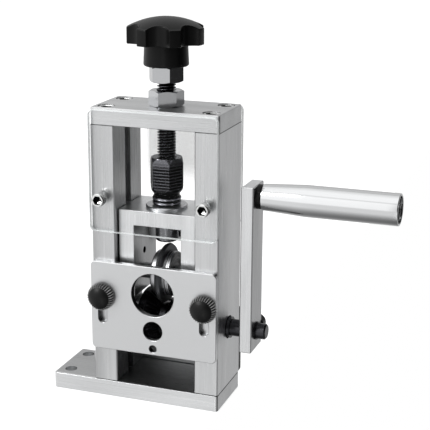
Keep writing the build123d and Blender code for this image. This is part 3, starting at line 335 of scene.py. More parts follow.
def black_oxide_steel(name, roughness=0.2, worn=False, tone=1.0):
    """Steel, blackened in a hot salt bath and oiled. A piece so marked has an attribute of painted light, by
    which its tone is multiplied: high for painted highlights on edges and crests, low for painted shade in
    roots and grooves."""
    # The eye gets a deep black metal with a thin oily gloss that is a little uneven.
    # The skin follows the tool marks, drawn as soft patches 0.4 mm wide.
    mat = new_metal(name, "black_oxide", roughness, tone)
    skin = fine_noise(mat, 0.4 * MM)
    vary_skin(mat, skin, roughness - 0.05, roughness + 0.08, 0.15, 0.02 * MM)
    shade = add_node(mat, "MapRange", (skin, *NOISE, 0.8, 1.2))
    # Painted highlights and painted shade, from the piece's attribute
    if worn:
        painted_light_tone = add_node(mat, "Attribute", attribute_name="worn")
        shade = times(mat, shade, painted_light_tone.outputs["Fac"])
    tint(mat, shade)
    return mat


def moulded_nylon(name, specular=0.15, ridged=False):
    """Glass-filled nylon, moulded in a spark-eroded tool. A ridged piece has an attribute of painted light that
    is 1 on the crests of its ridges, which get a grey painted highlight, and 0 in the grooves, which get
    painted shade."""
    # The eye gets a semi-matt black with a fine even grain.
    # The eroded grain is about 0.15 mm and is drawn 0.3 mm wide so that it shows.
    mat = new_material(
        name, {"Base Color": colour_of("black_plastic"), "Metallic": 0.0, "Roughness": 0.34,
               "Specular IOR Level": specular, "IOR": 1.53})
    vary_skin(mat, fine_noise(mat, 0.3 * MM, 2.0), 0.28, 0.4, 0.35, 0.03 * MM)
    if ridged:
        # Grey painted highlights on the crests of the ridges, painted shade in the grooves
        worn = add_node(mat, "Attribute", attribute_name="worn")
        grey = add_node(mat, "MapRange", (worn.outputs["Fac"], *RIDGE_PAINTED_LIGHT, 0.1, 150.0))
        tint(mat, grey)
    return mat


def clear_acrylic(name, painted_reflection=None):
    """Cast acrylic sheet with sawn and polished edges. An optional pair of heights gives the lowest and highest
    height between which a painted grey reflection grows on it, to the right of its left edge."""
    # The eye looks straight through the faces; the edges gather light and show as pale bands.
    colour = colour_of("clear")
    mat = new_material(name, {"Base Color": colour, "Metallic": 0.0, "Roughness": 0.08, "IOR": 1.49})
    geometry = add_node(mat, "NewGeometry")
    apart = add_node(mat, "SeparateXYZ", (geometry.outputs["True Normal"],))
    facing = add_node(mat, "Math", (apart.outputs["Y"],), operation="ABSOLUTE")
    alpha = add_node(mat, "MapRange", (facing, 0.6, 0.9, 0.8, 0.003))
    # A painted reflection: a grey veil on the upper part of the sheet
    if painted_reflection:
        x, _, z = own_place(mat)
        upward = add_node(mat, "MapRange", (z, *painted_reflection, 0.0, 0.3), interpolation_type="SMOOTHSTEP")
        left = -18.6 * MM
        edge = add_node(mat, "MapRange", (x, left, left + 0.3 * MM, 0.0, 1.0))
        grey = times(mat, upward, edge)
        alpha = add_node(mat, "Math", (alpha, grey), operation="MAXIMUM")
        painted_reflection_tint = add_node(mat, "Mix", {0: grey, 6: colour, 7: colour_of("painted_reflection")}, data_type="RGBA")
        set_shader(mat, "Base Color", painted_reflection_tint.outputs[2])
    set_shader(mat, "Alpha", alpha)
    return mat


def new_piece(name, vertices, loops, sizes, mat, body, slot, sharp=35.0):
    """Makes an object of the arrays, shades it smooth between sharp edges, and lets it ride on a body."""
    mesh = bpy.data.meshes.new(name)
    mesh.vertices.add(len(vertices))
    mesh.vertices.foreach_set("co", np.asarray(vertices, np.float32).ravel())
    mesh.loops.add(len(loops))
    mesh.loops.foreach_set("vertex_index", np.asarray(loops, np.int32))
    mesh.polygons.add(len(sizes))
    starts = np.concatenate(([0], np.cumsum(sizes)[:-1])).astype(np.int32)
    mesh.polygons.foreach_set("loop_start", starts)
    mesh.update(calc_edges=True)
    if mesh.validate():
        raise RuntimeError(f"{name} has faces that are not sound")
    mesh.shade_smooth()
    mesh.set_sharp_from_angle(angle=math.radians(sharp))
    mesh.materials.append(mat)
    piece = bpy.data.objects.new(name, mesh)
    bpy.context.scene.collection.objects.link(piece)
    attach(piece, body)
    return piece


def paint(piece, name, rows, poles):
    """Gives a turned piece an attribute: a value for each point of its rows, and one for each end's point."""
    attribute = piece.data.attributes.new(name, "FLOAT", "POINT")
    attribute.data.foreach_set("value", np.append(rows, poles).astype(np.float32))


def turned_surface(axis, centre, along, radius, turn, joined=False):
    """Vertices and faces of a surface round an axis. A point is
    centre + along * axis + radius * (cos(turn) * u + sin(turn) * v).
    The rows of `along` and `radius` run along the profile with the outside on their right, and their
    columns run round with `turn`. The last row joins the first one if joined, else each end is
    closed by a fan to a point on the axis."""
    u, v, w = (np.array(d) for d in ROUND_AXES[axis])
    rows, columns = np.broadcast_shapes(along.shape, radius.shape, (1, len(turn)))
    along = np.broadcast_to(along, (rows, columns))[..., None]
    radius = np.broadcast_to(radius, (rows, columns))[..., None]
    ring = np.cos(turn)[:, None] * u + np.sin(turn)[:, None] * v
    points = (np.array(centre) + along * w + radius * ring).reshape(-1, 3)
    index = np.arange(rows * columns).reshape(rows, columns)
    pairs = index if joined else index[:-1]
    above = np.roll(index, -1, axis=0) if joined else index[1:]
    quads = np.stack(
        (pairs, np.roll(pairs, -1, axis=1), np.roll(above, -1, axis=1), above), axis=-1).reshape(-1, 4)
    if joined:
        return points, quads.ravel(), np.full(len(quads), 4)
    poles = np.array([np.array(centre) + along[end].mean() * w for end in (0, -1)])
    following = np.roll(index, -1, axis=1)
    first, last = len(points), len(points) + 1
    start = np.stack((np.full(columns, first), following[0], index[0]), axis=-1)
    end = np.stack((index[-1], following[-1], np.full(columns, last)), axis=-1)
    loops = np.concatenate((quads.ravel(), start.ravel(), end.ravel()))
    sizes = np.concatenate((np.full(len(quads), 4), np.full(2 * columns, 3)))
    return np.concatenate((points, poles)), loops, sizes


def joined_triangles(node, shift):
    """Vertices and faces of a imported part, moved by `shift`: its loose triangles, with corners that lie
    within a micrometre of each other made one, and without triangles that this closes."""
    mesh = nodes[node].data
    points = np.empty(3 * len(mesh.vertices), np.float32)
    mesh.vertices.foreach_get("co", points)
    corners = np.empty(len(mesh.loops), np.int32)
    mesh.loops.foreach_get("vertex_index", corners)
    points = points.reshape(-1, 3)
    first, same = np.unique(np.round(points / (0.001 * MM)), axis=0, return_index=True, return_inverse=True)[1:]
    triangles = same.ravel()[corners].reshape(-1, 3)
    open_ones = (triangles != np.roll(triangles, 1, axis=1)).all(axis=1)
    triangles = triangles[open_ones]
    return points[first] + np.array(shift), triangles.ravel(), np.full(len(triangles), 3)


def full_turn(columns):
    return np.arange(columns) * 2 * math.pi / columns


def column_of(values):
    return np.asarray(values, float)[:, None]


def stacked(turn, *pairs):
    """The tables of a profile: heights and radii. Each pair gives both for some rows of them, as a number,
    a column, a value for each direction of `turn`, or a table."""
    every = np.ones((1, len(turn)))
    tables = [
        np.broadcast_arrays(np.atleast_2d(along), np.atleast_2d(radius), every) for along, radius in pairs]
    return [np.concatenate([table[part] for table in tables]) for part in (0, 1)]


def centre_of(node):
    low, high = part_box(node)
    return (low + high) / 2


# The values of painted light at which a thumb screw's ridges are still black, and fully grey as a painted
# highlight; its face gets just a little of it
RIDGE_PAINTED_LIGHT = (0.25, 0.75)
FACE_PAINTED_LIGHT = 0.255


class STRIPPER_OT_dress_frame(Operator):
    """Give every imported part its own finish"""

    bl_idname = "stripper.dress_frame"
    bl_label = "Dress Packed Parts"

    def execute(self, context):
        column_low, column_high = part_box("column_left")
        guide_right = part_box("guide_plate")[1].x
        shaft, cutter = centre_of("drive_shaft"), centre_of("cutter_blade")
        screw, bolt = centre_of("adjusting_screw"), centre_of("handle_bolt")
        # The tones by face of the base, columns, arm, slider and cutter parts, and `reach` and `deepest`, paint
        # shade and highlight; the rear plate's tones are its two-tone colour, and the disc's one tone darkens
        # its colour
        finishes = (
            (milled_aluminium(
                "milled_aluminium_base", "X", reach=1.2 * MM, deepest=0.5, shades_and_tones=(1.0, 1.15, 0.76)),
             "base_plate"),
            (milled_aluminium("milled_aluminium_top", "X", reach=1.2 * MM, deepest=0.15), "top_plate"),
            (milled_aluminium(
                "milled_aluminium_columns", "Z", reach=5 * MM, shades_and_tones=(1.12, 0.96, 1.0),
                joints=(column_low.z, column_high.z)),
             "column_*"),
            (milled_aluminium("milled_aluminium_arm", "Z", shades_and_tones=(0.88, 1.1, 1.3)), "crank_arm"),
            (milled_aluminium("milled_aluminium_slider", "Z", reach=8 * MM, shades_and_tones=(0.78, 1.12, 1.3)),
             "slider_block axle_spacer_*"),
            (blasted_aluminium("blasted_aluminium_guide", guide_right), "guide_plate"),
            (zinc_plated_steel("zinc_plated_screws"), "*_plate_screws *_guard_screws base_screws"),
            (turned_metal("turned_steel_washer", "Z", screw, "steel", 0.28), "slider_washer"),
            (milled_aluminium(
                "black_anodised_rear_plate", "X", "rear_plate", 0.35, shades_and_tones=(0.02, 1.0, 0.02), behind=0.03),
             "rear_plate"),
            (clear_acrylic("clear_acrylic_guards"), "*_guard"),
            (black_oxide_steel("black_oxide_shaft", 0.18, tone=3.0), "drive_shaft"),
            (black_oxide_steel("black_oxide_steel"),
             "coupling_nut feed_roller *_set_screws arm_screw arm_ring handle_bolt flange_screws "
             "adjusting_screw"),
            (moulded_nylon("moulded_nylon_washer"), "handle_washer star_knob thumb_knob_*"),
            (turned_metal("turned_steel_shaft_parts", "X", shaft, "steel", 0.22),
             "shaft_bearing_* shaft_spacer_* thumb_stud_* handle_grip"),
            (turned_metal(
                "turned_steel_cutter_parts", "X", cutter, "steel", 0.36, 0.9 * MM, 0.05 * MM,
                shades_and_tones=(0.12, 1.3, 1.3), lines=0.15),
             "cutter_flange_* cutter_bearing_* cutter_axle"),
            (turned_metal("ground_tool_steel_disc", "X", cutter, "ground_steel", 0.5, shades_and_tones=(0.6, 0.6, 0.6)),
             "cutter_blade"),
            (turned_metal("plain_steel_nuts", "Z", screw, "steel", 0.14), "lock_nut knob_nut retaining_ring"),
            (turned_metal("sintered_bronze_bushes", "X", bolt, "bronze", 0.4), "handle_bushes"),
        )
        dressed = [
            (node, mat) for mat, patterns in finishes for pattern in patterns.split()
            for node in nodes if fnmatch(node, pattern)]
        if sorted(node for node, _ in dressed) != sorted(nodes):
            raise RuntimeError("every packed part has to have one finish")
        for node, mat in dressed:
            nodes[node].data.materials.clear()
            nodes[node].data.materials.append(mat)
        return {"FINISHED"}


class STRIPPER_OT_guards(Operator):
    """Make the two clear guards, a hair's breadth off the columns so that both faces show cleanly"""

    bl_idname = "stripper.guards"
    bl_label = "Clear Guards"

    def execute(self, context):
        hair = 0.03 * MM
        # The rear guard gets a painted reflection between the two heights given here
        for side, away, painted_reflection in (("front", -hair, None), ("rear", hair, (108 * MM, 126 * MM))):
            clear = clear_acrylic(f"cast_acrylic_{side}_guard", painted_reflection)
            triangles = joined_triangles(f"{side}_guard", (0, away, 0))
            guard = new_piece(f"clear_{side}_guard", *triangles, clear, "frame", "clear")
            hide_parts(f"{side}_guard")
        return {"FINISHED"}


def thread_shape(sizes, bottom, top, crest):
    """The radius is the crest's, less the depth times a wave of straight flanks with flat crests and
    roots. The wave climbs one pitch in a turn, so its phase is z / pitch - turn / (2 pi)."""
    half_crest, flank_width, rows_a_pitch = 0.16, 0.64, 10
    turn = full_turn(64)
    z = column_of(np.linspace(bottom, top, int((top - bottom) / sizes.thread_pitch * rows_a_pitch)))
    phase = (z / sizes.thread_pitch - turn / (2 * math.pi)) % 1.0
    flank = np.clip((np.abs(2 * phase - 1) - half_crest) / flank_width, 0, 1)
    return z, flank, crest - sizes.thread_depth * flank, turn


def tail_shape(bottom, top):
    """A collar whose lower edge is rounded by a quarter of a circle."""
    collar, edge = 6.1 * MM, 1.5 * MM
    bend = np.linspace(0, QUARTER, 8)
    along = np.append(bottom + edge - edge * np.cos(bend), top)
    radius = np.append(collar - edge + edge * np.sin(bend), collar)
    return column_of(along), column_of(radius)


class STRIPPER_OT_adjusting_screw(Operator):
    """Make the threaded adjusting screw and its plain tail"""

    bl_idname = "stripper.adjusting_screw"
    bl_label = "Adjusting Screw"

    def execute(self, context):
        low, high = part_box("adjusting_screw")
        crest = (high.x - low.x) / 2 - 0.05 * MM
        ring_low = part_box("retaining_ring")[0].z
        z, flank, radius, turn = thread_shape(context.scene.stripper_sizes, ring_low, high.z, crest)
        black = black_oxide_steel("black_oxide_thread", 0.22, worn=True)
        rod = new_piece(
            "threaded_rod", *turned_surface("Z", ORIGIN, z, radius, turn), black, "screw", "black_metal", 50)
        # The crests get a painted highlight, and the roots painted shade
        painted_root_shade, crest_shine = 0.01, 8
        paint(rod, "worn", painted_root_shade + crest_shine * (1 - flank) ** 3, (1.0, 1.0))
        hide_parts("adjusting_screw")
        along, radius = tail_shape(low.z, ring_low - 0.01 * MM)
        steel = turned_metal("plain_steel_tail", "Z", ORIGIN, "ground_steel", 0.24)
        tail = new_piece(
            "screw_tail", *turned_surface("Z", ORIGIN, along, radius, full_turn(96)), steel, "screw", "steel")
        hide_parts("adjusting_screw")
        return {"FINISHED"}


def knob_outline(turn, lobes, first_tip):
    """The outline's radius in each direction: a circle's arc at a scallop, a round corner beside it, and
    a circle between the corners. A ray at the angle a off the middle of a circle with the radius r, d
    away, cuts it at d cos(a) - or + the root of r^2 - (d sin(a))^2."""
    circle, scallop, scallop_distance, rounding = 21 * MM, 7.2 * MM, 23.2 * MM, 2.4 * MM
    lobe = 2 * math.pi / lobes
    away = np.abs((turn - first_tip) % lobe - lobe / 2)
    corner_distance = circle - rounding
    corner_angle = math.acos(
        (scallop_distance ** 2 + corner_distance ** 2 - (scallop + rounding) ** 2)
        / (2 * scallop_distance * corner_distance))
    corner = corner_distance * np.exp(1j * corner_angle)
    touch = scallop_distance + scallop / (scallop + rounding) * (corner - scallop_distance)
    scalloped = scallop_distance * np.cos(away) - np.sqrt(
        np.maximum(scallop ** 2 - (scallop_distance * np.sin(away)) ** 2, 0))
    rounded = corner_distance * np.cos(away - corner_angle) + np.sqrt(
        np.maximum(rounding ** 2 - (corner_distance * np.sin(away - corner_angle)) ** 2, 0))
    return np.where(away < np.angle(touch), scalloped, np.where(away < corner_angle, rounded, circle))


def knob_shape(sizes, bottom, top):
    """The profile in each direction: hub foot, hub, underside, lower edge, wall, upper edge, and a
    crown that is part of a sphere, so that it stands higher where the outline comes in."""
    columns_a_lobe, tip = 72, 20 * MM
    turn = full_turn(sizes.knob_lobes * columns_a_lobe)
    outline = np.minimum(knob_outline(turn, sizes.knob_lobes, sizes.knob_lobe_angle), tip)
    hub_foot, hub_top, hub_round = 11.65 * MM, 11.15 * MM, 1.2 * MM
    lobe_bottom, lobe_top = bottom + 11.4 * MM, bottom + 20.0 * MM
    edge, lower_edge = 0.8 * MM, 0.5 * MM
    crown_height = top - lobe_top
    crown = ((tip - edge) ** 2 + crown_height ** 2) / (2 * crown_height)

    def crown_z(radius):
        return top - crown + np.sqrt(crown ** 2 - radius ** 2)

    inner = outline - edge
    rim_z = crown_z(inner) - edge
    wall_foot = lobe_bottom + lower_edge
    quarter = column_of(np.linspace(0, QUARTER, 7))
    bend = quarter[1:]
    outward = column_of(np.linspace(0.15, 1.0, 6))
    upward = column_of(np.linspace(0.15, 1.0, 5))
    dome = inner * column_of(np.linspace(0.97, 0.02, 26))
    along, radius = stacked(
        turn,
        (bottom + hub_round - hub_round * np.cos(quarter), hub_foot - hub_round + hub_round * np.sin(quarter)),
        (lobe_bottom, hub_top),
        (lobe_bottom, hub_top + outward * (outline - lower_edge - hub_top)),
        (wall_foot - lower_edge * np.cos(bend), outline - lower_edge + lower_edge * np.sin(bend)),
        (wall_foot + upward * (rim_z - wall_foot), outline),
        (rim_z + edge * np.sin(bend), inner + edge * np.cos(bend)),
        (crown_z(dome), dome))
    return along, radius, turn


class STRIPPER_OT_star_knob(Operator):
    """Make the moulded star knob"""

    bl_idname = "stripper.star_knob"
    bl_label = "Star Knob"

    def execute(self, context):
        low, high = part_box("star_knob")
        along, radius, turn = knob_shape(context.scene.stripper_sizes, low.z, high.z)
        nylon = moulded_nylon("moulded_nylon_knob")
        knob = new_piece(
            "moulded_star_knob", *turned_surface("Z", ORIGIN, along, radius, turn),
            nylon, "screw", "black_plastic", 40)
        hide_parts("star_knob")
        return {"FINISHED"}


def coupling_shape(length):
    """The radius is the smaller of the hexagon's and the turned profile's, point by point, less shallow
    turned grooves. The profile has two round beads on the neck, a wide groove, a flare, and the cone
    that bevels the hexagon's top into arches. It gets painted highlights on the beads, on the lines
    between the turned grooves and on the bevel, and painted shade in the wide groove and under the flare."""
    flat = 8.0 * MM
    corner = flat / math.cos(SIXTH / 2)
    turn = full_turn(180)
    hexagon = flat / np.cos(turn % SIXTH - SIXTH / 2)
    neck, bead, beads, bead_height = 7.6 * MM, 0.8 * MM, 2, 2.2 * MM
    groove, flare, cone, step = 2.0 * MM, 4.0 * MM, 2.6 * MM, 0.1 * MM
    groove_pitch, groove_depth = 1.6 * MM, 0.12 * MM
    bevel = length - cone
    root, flare_foot = neck - bead, neck - 0.2 * MM
    up_beads = np.linspace(0, beads * bead_height, beads * 16 + 1)
    neck_top = up_beads[-1]
    up_flare = np.linspace(0, 1, 12)
    flare_h = neck_top + groove + flare * up_flare
    up_body = np.linspace(flare_h[-1] + step, bevel, 96)
    up_cone = np.linspace(0, 1, 14)[1:]
    heights = np.concatenate((
        up_beads, [neck_top + step, neck_top + groove - step], flare_h, up_body,
        bevel + cone * up_cone, [length, length]))
    from_middle = 2 * ((heights / bead_height) % 1.0) - 1
    profile = np.concatenate((
        root + bead * np.sqrt(1 - from_middle[:len(up_beads)] ** 2), [root, root],
        flare_foot + (corner - flare_foot) * np.sin(up_flare * QUARTER), np.full(len(up_body), corner),
        corner - (corner - flat) * up_cone ** 1.2, [6.5 * MM, 5.0 * MM]))
    body = np.clip((heights - flare_h[4]) / MM, 0, 1) * np.clip((bevel - heights) / MM, 0, 1)
    swing = 0.5 + 0.5 * np.cos(2 * math.pi * heights / groove_pitch)
    radius = np.minimum(column_of(profile), hexagon) - column_of(groove_depth * body * swing ** 3)
    # Painted highlights and painted shade, height by height
    bead_shine, line_shine, bevel_shine, painted_groove_shade = 22, 9, 9.0, 0.04
    painted_light_tone = 0.7 + body * (line_shine * (1 - swing) ** 6 - 0.4)
    painted_light_tone = np.where(heights <= neck_top, 0.03 + bead_shine * (1 - from_middle ** 2) ** 6, painted_light_tone)
    painted_light_tone = np.where((heights > neck_top) & (heights <= flare_h[1]), painted_groove_shade, painted_light_tone)
    painted_light_tone = painted_light_tone + bevel_shine * np.clip((heights - bevel + 2.5 * MM) / (3.5 * MM), 0, 1)
    return heights, radius, turn, painted_light_tone


class STRIPPER_OT_coupling(Operator):
    """Make the black hexagonal coupling with its ringed neck"""

    bl_idname = "stripper.coupling"
    bl_label = "Coupling"

    def execute(self, context):
        low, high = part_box("coupling_nut")
        heights, radius, turn, painted_light_tone = coupling_shape(high.z - low.z)
        black = black_oxide_steel("black_oxide_coupling", worn=True)
        coupling = new_piece(
            "hexagon_coupling", *turned_surface("Z", ORIGIN, column_of(low.z + heights), radius, turn),
            black, "screw", "black_metal", 20)
        paint(coupling, "worn", np.repeat(painted_light_tone, len(turn)), (1.0, 1.0))
        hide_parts("coupling_nut")
        return {"FINISHED"}


def screw_places(node, axis, head, height):
    """The centre of each head's seat"""
    low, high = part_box(node)
    ends = [low.x + head, high.x - head]
    if axis == "Z":
        return [(x, y, high.z - height) for x in ends for y in (low.y + head, high.y - head)]
    seat = low.y + height if axis == "-Y" else high.y - height
    return [(x, seat, (low.z + high.z) / 2) for x in ends]


def screw_shape(head, height, flats):
    """Profile of shank, knurled head with a bevelled rim, and six-sided socket with a drilled cone as
    its floor. The knurl is a wave of one ridge every 10 degrees, and the socket's radius is half its
    flats divided by the cosine of the angle from the middle of the nearest flat."""
    turn = full_turn(144)
    knurl_ridges, knurl_depth = 36, 0.12 * MM
    knurled = head - knurl_depth * np.abs(np.sin(knurl_ridges / 2 * turn))
    socket = flats / 2 / np.cos(turn % SIXTH - SIXTH / 2)
    shank, shank_length, rim, bevel = 2.0 * MM, 2.5 * MM, 0.45 * MM, 0.2 * MM
    wall, floor, cone, point = socket - 0.02 * MM, 0.45 * height, 0.29 * flats, 0.02 * MM
    outside = (
        (-shank_length, shank), (0, shank), (0, head - bevel), (bevel, knurled), (height - rim, knurled),
        (height, head - rim), (height, socket + 0.1 * MM), (height - 0.15 * MM, socket))
    inside = ((height - bevel, wall), (floor, wall), (floor - cone, point))
    along, radius = stacked(turn, *outside, *inside)
    is_inside = np.arange(len(along)) >= len(outside)
    return along, radius, turn, np.repeat(is_inside, len(turn))


class STRIPPER_OT_socket_screws(Operator):
    """Make the knurled socket screws of the guards and the top plate"""

    bl_idname = "stripper.socket_screws"
    bl_label = "Socket Screws"

    def execute(self, context):
        # The screws get painted shade on their sides and a painted highlight on their faces; `lit` is the
        # direction of the painted highlight in their sockets
        lit = (-0.62, -0.3, 0.72)
        guard_zinc = zinc_plated_steel("zinc_plated_guard_screws", (0.08, 1.2, 1.3), 0.3, 0.5 * MM, lit)
        top_zinc = zinc_plated_steel("zinc_plated_top_screws", (0.1, 0.1, 1.6), 0.3, 0.5 * MM, lit)
        # Node, axis, head radius, head height, socket across its flats, finish
        groups = (
            ("front_guard_screws", "-Y", 3.5 * MM, 4.0 * MM, 4.3 * MM, guard_zinc),
            ("rear_guard_screws", "Y", 3.5 * MM, 4.0 * MM, 4.3 * MM, guard_zinc),
            ("top_plate_screws", "Z", 4.25 * MM, 5.0 * MM, 5.2 * MM, top_zinc),
        )
        for node, axis, head, height, flats, finish in groups:
            along, radius, turn, inside = screw_shape(head, height, flats)
            for number, place in enumerate(screw_places(node, axis, head, height)):
                screw = new_piece(
                    f"{node}_{number}", *turned_surface(axis, place, along, radius, turn),
                    finish, "frame", "zinc", 30)
                paint(screw, "inside", inside, (False, True))
                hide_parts(node)
        return {"FINISHED"}


def serration_shape(sizes, roller):
    """The ridges stand on the groove's own V: its radius, plus a wave of one ridge for each serration,
    which fades out where the flank meets the rim and the floor. The floor is smooth, since the cutter's
    edge comes down to it. The profile goes out along the ridges and back along the lining's inside."""
    half_groove, half_floor, depth, lining = 8.0 * MM, 1.6 * MM, 7.0 * MM, 0.5 * MM
    turn = full_turn(sizes.roller_serrations * 8)
    flank = np.linspace(half_floor + 0.1 * MM, half_groove - 0.05 * MM, 12)
    x = np.concatenate((-flank[::-1], np.linspace(-half_floor, half_floor, 5), flank))
    slope = depth / (half_groove - half_floor)
    groove = roller - depth + np.maximum(np.abs(x) - half_floor, 0) * slope
    ridge = (0.5 + 0.5 * np.cos(sizes.roller_serrations * turn)) ** 0.8
    fade = np.clip(np.minimum(half_groove - np.abs(x), np.abs(x) - half_floor) / (0.6 * MM), 0, 1)
    outer = column_of(groove) + 0.02 * MM + sizes.roller_serration_height * column_of(fade) * ridge
    along, radius = stacked(turn, (column_of(x), outer), (column_of(x[::-1]), column_of(groove[::-1] - lining)))
    return along, radius, turn


class STRIPPER_OT_roller_serrations(Operator):
    """Make the serrated lining of the feed roller's groove"""

    bl_idname = "stripper.roller_serrations"
    bl_label = "Roller Serrations"

    def execute(self, context):
        low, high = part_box("feed_roller")
        along, radius, turn = serration_shape(context.scene.stripper_sizes, (high.z - low.z) / 2)
        black = black_oxide_steel("black_oxide_serrations", 0.3)
        new_piece(
            "roller_serrations",
            *turned_surface("X", (0, 0, (high.z + low.z) / 2), along, radius, turn, joined=True),
            black, "crank", "black_metal", 25)
        return {"FINISHED"}


def thumb_knob_shape(sizes, outer, length):
    """The wall's radius is the outer one less a wave of one groove for each ridge. The wall is straight,
    then turns in over a quarter of an ellipse, where the grooves run out, to a smooth face that is part
    of a sphere. The crests of the ridges get a painted highlight."""
    turn = full_turn(sizes.thumb_ridges * 8)
    groove = np.abs(np.cos(sizes.thumb_ridges * turn / 2))
    face, face_start, wall_end = 5.7 * MM, length - 1.9 * MM, length - 5.2 * MM
    bend = column_of(np.linspace(0, QUARTER, 9))
    shoulder = face + (outer - face) * np.cos(bend)
    depth = sizes.thumb_ridge_depth * np.cos(bend) ** 0.3
    dome = length - face_start
    sphere = (face ** 2 + dome ** 2) / (2 * dome)
    face_r = face * column_of(np.linspace(0.96, 0.03, 14))
    foot = outer - sizes.thumb_ridge_depth - 0.1 * MM
    along, radius = stacked(
        turn,
        (0, foot - 0.4 * MM), (0.3 * MM, foot), (0.6 * MM, outer - sizes.thumb_ridge_depth * groove),
        (wall_end + (face_start - wall_end) * np.sin(bend), shoulder - depth * groove),
        (length - sphere + np.sqrt(sphere ** 2 - face_r ** 2), face_r))
    crest = 1 - groove
    worn = np.concatenate((
        np.zeros((2, len(turn))), crest[None], crest * np.cos(bend) ** 0.2,
        np.full((len(face_r), len(turn)), FACE_PAINTED_LIGHT)))
    return along, radius, turn, worn


class STRIPPER_OT_thumb_screws(Operator):
    """Make the two ribbed thumb screw knobs"""

    bl_idname = "stripper.thumb_screws"
    bl_label = "Thumb Screws"

    def execute(self, context):
        nylon = moulded_nylon("moulded_nylon_thumb_screws", 0.18, ridged=True)
        for side in ("left", "right"):
            low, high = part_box(f"thumb_knob_{side}")
            middle = (low + high) / 2
            along, radius, turn, worn = thumb_knob_shape(
                context.scene.stripper_sizes, (high.x - low.x) / 2, high.y - low.y)
            knob = new_piece(
                f"ribbed_thumb_knob_{side}",
                *turned_surface("-Y", (middle.x, high.y, middle.z), along, radius, turn),
                nylon, f"thumb_{side}", "black_plastic", 42)
            paint(knob, "worn", worn, (0.0, FACE_PAINTED_LIGHT))
            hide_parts(f"thumb_knob_{side}")
        return {"FINISHED"}


def grip_shape(length, outer):
    """A closed profile: start face, corner round, taper, cylinder, end round, rim, recess and bore. The
    taper is a straight line, and each round is a quarter of a circle."""
    start, bore, taper, corner = 6.85 * MM, 5.01 * MM, 22.0 * MM, 0.5 * MM
    rim, rim_bevel, recess = outer - 1.15 * MM, 0.3 * MM, 7.0 * MM
    bend = np.linspace(0, QUARTER, 6)
    along = np.concatenate((
        [0.0], corner - corner * np.cos(bend), np.linspace(corner, taper, 12)[1:],
        np.linspace(taper, length - corner, 10)[1:], length - corner + corner * np.sin(bend)[1:],
        [length, length - rim_bevel, length - recess, length - recess]))
    radius = np.concatenate((
        [bore], start - corner + corner * np.sin(bend), np.linspace(start, outer, 12)[1:], np.full(9, outer),
        outer - corner + corner * np.cos(bend)[1:], [rim + rim_bevel, rim, rim, bore]))
    return column_of(along), column_of(radius)


class STRIPPER_OT_handle_grip(Operator):
    """Make the turned aluminium handle grip"""

    bl_idname = "stripper.handle_grip"
    bl_label = "Handle Grip"

    def execute(self, context):
        low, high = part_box("handle_grip")
        centre = (low.x, 0, (low.z + high.z) / 2)
        along, radius = grip_shape(high.x - low.x, (high.z - low.z) / 2)
        polished = turned_metal(
            "polished_turned_aluminium", "X", centre, "aluminium", 0.12, 0.3 * MM, 0.004 * MM)
        grip = new_piece(
            "turned_handle_grip", *turned_surface("X", centre, along, radius, full_turn(128), joined=True),
            polished, "handle", "handle_alu", 30)
        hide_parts("handle_grip")
        return {"FINISHED"}


def make_floor(scene):
    # The floor is a bench that ends beside the base, since the crank reaches below it in its turn
    half = 3.0
    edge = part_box("base_plate")[1].x + 0.5 * MM
    mesh = bpy.data.meshes.new("floor")
    mesh.from_pydata(
        [(-half, -half, 0), (edge, -half, 0), (edge, half, 0), (-half, half, 0)], [], [(0, 1, 2, 3)])
    floor = bpy.data.objects.new("floor", mesh)
    scene.collection.objects.link(floor)
    # Matt white board: it keeps the machine's soft shadow, and looks white to the camera.
    # Gloss shows the studio in its place, so metal mirrors the same surround on every side.
    board = new_material(
        "matt_white_board", {"Roughness": 0.8, "Specular IOR Level": 0.0, "Emission Color": (1, 1, 1, 1)})
    seen = add_node(board, "LightPath").outputs["Is Camera Ray"]
    set_shader(board, "Emission Strength", times(board, seen, 0.8))
    tone = add_node(board, "Mix", {0: seen, 6: colour_of("floor"), 7: (0.35, 0.35, 0.35, 1)}, data_type="RGBA")
    set_shader(board, "Base Color", tone.outputs[2])
    mesh.materials.append(board)
    floor.visible_glossy = False


